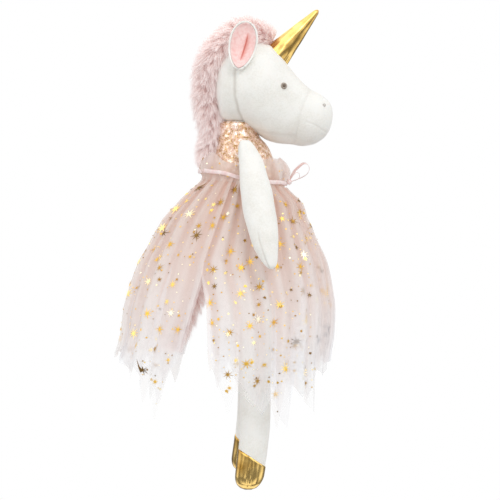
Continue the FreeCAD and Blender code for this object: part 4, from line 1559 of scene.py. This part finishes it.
@dataclass
class Ribbon:
    """The satin ribbon round the waist and the bow in front."""

    high: float = 4.1

    # the ribbon's line seen from the side: x, z
    LINE = [(-49, 9.0), (-31, 7.4), (-6, 1.3), (20, -2.4), (45, -4.2)]
    KNOT = (46.4, 0.0, -2.0)
    RING = (-2.5, 46.6, 36.2)      # the band's middle, half depth and half width
    # each loop seen from the side, from the knot out and back: x, z, distance out, tilt
    RIGHT_LOOP = [(0, 0, 0, 0), (1.5, 4.5, 2, 0.5), (5, 10.5, 5, 0.8), (10.5, 16, 8, 0.8),
                  (15.5, 19, 10, 0.6), (19, 17.5, 11, 0.1), (20.8, 13.5, 10, 0), (18.8, 8.5, 8, 0.1),
                  (14, 5, 5.5, 0.15), (7, 2, 3, 0.1), (0.5, -0.5, 0, 0)]
    LEFT_LOOP = [(0, 0, 0, 0), (1.8, 3.8, 2, 0.3), (4.5, 7.8, 5, 0.4), (8, 10.5, 9, 0.3),
                 (10.6, 9.6, 11, 0), (11.2, 6.2, 10, 0), (9, 3.2, 7, 0.1), (4.5, 1.4, 3, 0.1),
                 (0.5, -0.5, 0, 0)]

    def build(self, finishes: Finishes) -> None:
        """Makes the band, the knot and two loops."""
        pieces = {"waist_ribbon": self.band(), "bow_knot": self.knot(),
                  "bow_loop_right": self.loop("ribbon_loop_right", self.RIGHT_LOOP, -1),
                  "bow_loop_left": self.loop("ribbon_loop_left", self.LEFT_LOOP, 1)}
        for node, piece in pieces.items():
            finish_piece(piece, finishes.satin, (node,))
            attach(piece, "torso")

    def band(self) -> bpy.types.Object:
        """A slack band that follows the gathers, a little cupped across its width."""
        turn = ring_turns(260)
        across = np.linspace(-1, 1, 9)[:, None]
        pull = 0.3 * np.sin(turn * 17) + 0.2 * np.sin(turn * 29 + 1) - 0.15 * across**2
        middle, deep, wide = self.RING
        x = middle + (deep + pull) * np.cos(turn)
        y = (wide + pull) * np.sin(turn)
        line = np.array(self.LINE)
        z = through(line[:, 0], line[:, 1], x) + self.high / 2 * across + 0.35 * np.sin(turn * 9)
        grid = np.stack(np.broadcast_arrays(x, y, z), axis=-1) * MM
        band = add_mesh("ribbon_band", grid.reshape(-1, 3), quads(9, 260, True))
        thicken(band, 0.5 * MM)
        return band

    def knot(self) -> bpy.types.Object:
        """A small bundle of satin pulled tight."""
        up = np.linspace(0.02, math.pi - 0.02, 40)[:, None]
        turn = ring_turns(48)
        pinch = 1 + 0.12 * np.sin(turn * 7 + 3 * up)
        spots = np.stack([2.6 * np.sin(up) * np.cos(turn) * pinch, 3.2 * np.cos(up) + 0 * turn,
                          3.0 * np.sin(up) * np.sin(turn) * pinch], axis=-1)
        return closed_form("ribbon_knot", (spots + self.KNOT) * MM)

    def loop(self, name: str, table: list[tuple[float, ...]], side: int) -> bpy.types.Object:
        """One loop: its width lies across the doll, and tilts into sight where the table says."""
        x, z, out, tilt = rows_between(table, 90)
        path = np.stack([x, side * out, z], axis=-1) + self.KNOT
        along = np.gradient(path, axis=0)
        along /= np.linalg.norm(along, axis=1, keepdims=True)
        level = np.array([0.0, 1.0, 0.0]) - along * along[:, 1:2]
        level /= np.linalg.norm(level, axis=1, keepdims=True)
        up = np.cross(along, level)
        way = level * np.cos(tilt)[:, None] + up * np.sin(tilt)[:, None]
        across = np.linspace(-1, 1, 7)[:, None, None]
        grid = (path[None] + way[None] * across * self.high * 0.42) * MM
        piece = add_mesh(name, grid.reshape(-1, 3), quads(7, len(path), False))
        thicken(piece, 0.35 * MM, 0.0)
        return piece


# ---------------------------------------------------------------- studio


@dataclass
class Studio:
    """Soft light on white, and the camera at the doll's side."""

    distance: float = 1.6
    wide: float = 0.525        # what the frame's width takes in at the doll
    middle: tuple[float, float] = (5.25, -73.5)
    low: float = 0.62          # light from straight below, and from above
    high: float = 0.92

    # name, place, size, watts
    LAMPS = [("key", (0.7, -1.5, 1.3), 0.7, 9), ("fill", (-1.4, -1.1, 0.5), 0.9, 3)]

    def camera(self) -> None:
        """A long lens level with the doll's middle, looking along +Y."""
        data = bpy.data.cameras.new("camera")
        data.lens = data.sensor_width * self.distance / self.wide
        camera = bpy.data.objects.new("camera", data)
        camera.location = (self.middle[0] * MM, -self.distance, self.middle[1] * MM)
        camera.rotation_euler = (math.pi / 2, 0, 0)
        bpy.context.scene.collection.objects.link(camera)
        bpy.context.scene.camera = camera

    def lamp(self, name: str, place: tuple[float, float, float], size: float, power: float) -> None:
        """A square soft box that faces the doll."""
        data = bpy.data.lights.new(name, "AREA")
        data.size, data.energy = size, power
        lamp = bpy.data.objects.new(name, data)
        lamp.location = place
        aim = np.array([0, 0, -0.05]) - np.array(place)
        flat = math.hypot(aim[0], aim[1])
        lamp.rotation_euler = (math.atan2(flat, -aim[2]), 0, math.atan2(-aim[0], aim[1]))
        bpy.context.scene.collection.objects.link(lamp)

    def world(self) -> None:
        """White air behind, soft light from above and dark sides for the foil to mirror.

        The light that cloth gathers runs from low under the doll to high over it. What polished
        foil mirrors runs further, so that it shows dark and bright bands. Straight sight is white.
        """
        world = bpy.data.worlds.new("studio")
        world.use_nodes = True
        tree = world.node_tree
        tree.nodes.clear()
        way = add_node(tree, "TexCoord")
        parts = add_node(tree, "SeparateXYZ", {0: way.outputs["Generated"]})
        soft = add_node(tree, "MapRange", {"Value": parts.outputs[2], "From Min": -0.7,
                                           "From Max": 0.8, "To Min": self.low, "To Max": self.high})
        patches = add_node(tree, "TexNoise", {"Vector": way.outputs["Generated"], "Scale": 1.9,
                                              "Detail": 0.0})
        window = add_node(tree, "MapRange", {"Value": patches.outputs[0], "From Min": 0.42,
                                             "From Max": 0.58, "To Min": -0.35, "To Max": 0.75})
        rise = add_node(tree, "MapRange", {"Value": parts.outputs[2], "From Min": -0.1,
                                           "From Max": 0.75, "To Min": 0.6, "To Max": 1.5})
        shine = add_node(tree, "Math", {0: rise.outputs[0], 1: window.outputs[0]}, operation="ADD")
        ray = add_node(tree, "LightPath")
        lit = add_node(tree, "Mix", {0: ray.outputs["Is Glossy Ray"], 2: soft.outputs[0],
                                     3: shine.outputs[0]})
        level = add_node(tree, "Mix", {0: ray.outputs["Is Camera Ray"], 2: lit.outputs[0], 3: 1.0})
        back = add_node(tree, "Background", {"Color": (1, 1, 1, 1), "Strength": level.outputs[0]})
        add_node(tree, "OutputWorld", {"Surface": back.outputs[0]})
        bpy.context.scene.world = world

    def build(self) -> None:
        """Sets up the camera and light."""
        self.camera()
        for lamp in self.LAMPS:
            self.lamp(*lamp)
        self.world()
        scene = bpy.context.scene
        scene.view_settings.view_transform = "Standard"
        if hasattr(scene, "cycles"):
            scene.cycles.transparent_max_bounces = 32


# ---------------------------------------------------------------- the doll

MANE_HEAD = [(29, 145, 4, 9, -100), (17, 152, 10, 14, -95), (0, 155, 13.5, 17, -82),
             (-17, 147, 13.5, 18, -55), (-31, 131, 13.5, 18, -34), (-38, 112, 12.5, 17, -12),
             (-39.5, 90, 11.5, 16, 0), (-36.5, 68, 11, 15, 4), (-35.5, 60, 9, 13, 4)]
MANE_BACK = [(-33, 58, 9, 12, 0), (-34, 45, 10.5, 14, 0), (-37, 34, 9.5, 13.5, 0),
             (-39, 27, 7, 11, 0), (-40, 24, 4, 7, 0)]
FUR_TAIL = [(-35, -72, 5, 7, -50), (-41, -82, 10, 11, -38), (-49, -100, 13, 13, -26),
            (-59, -125, 13.5, 14, -23), (-69, -150, 12, 13, -22), (-75, -166, 8, 9, -20),
            (-77, -174, 4, 5, -18)]


class Doll:
    """The whole doll, piece by piece."""

    def __init__(self) -> None:
        """Readies the finishes."""
        self.finishes = Finishes()

    def build(self) -> None:
        """Builds every sub-assembly in order."""
        finishes = self.finishes
        Body().build(finishes)
        head = Head()
        head.build(finishes)
        head.stitch_nostrils(finishes)
        Horn().build(finishes)
        for side in Side:
            Ear(side).build(finishes)
            Eye(side).build(head, finishes)
            Arm(side).build(finishes)
            Leg(side).build(finishes)
        Fur("mane_head", "head", ("mane_head",), MANE_HEAD, 26000, 14 * MM, 0.75, 71).build(finishes)
        Fur("mane_back", "torso", ("mane_back",), MANE_BACK, 9000, 12 * MM, 0.8, 72).build(finishes)
        Fur("tail", "tail", ("tail_core", "tail_fur"), FUR_TAIL, 12000, 12 * MM, 0.9, 73,
            -0.182).build(finishes)
        Skirt().build(finishes)
        Ruffle().build(finishes)
        Ribbon().build(finishes)
        self.dress_frame_nodes()

    def dress_frame_nodes(self) -> None:
        """Materials for the CAD pieces that stay as they are: thread rings and eye washers."""
        kinds = {"seam": self.finishes.thread, "washer": self.finishes.washer}
        for name, piece in frame["nodes"].items():
            for kind, material in kinds.items():
                if kind in name:
                    piece.data.materials.clear()
                    piece.data.materials.append(material)


def main() -> None:
    """Builds the studio and the doll."""
    logging.basicConfig(level=logging.INFO, format="%(name)s %(message)s")
    Studio().build()
    Doll().build()


if __name__ == "__main__":
    main()
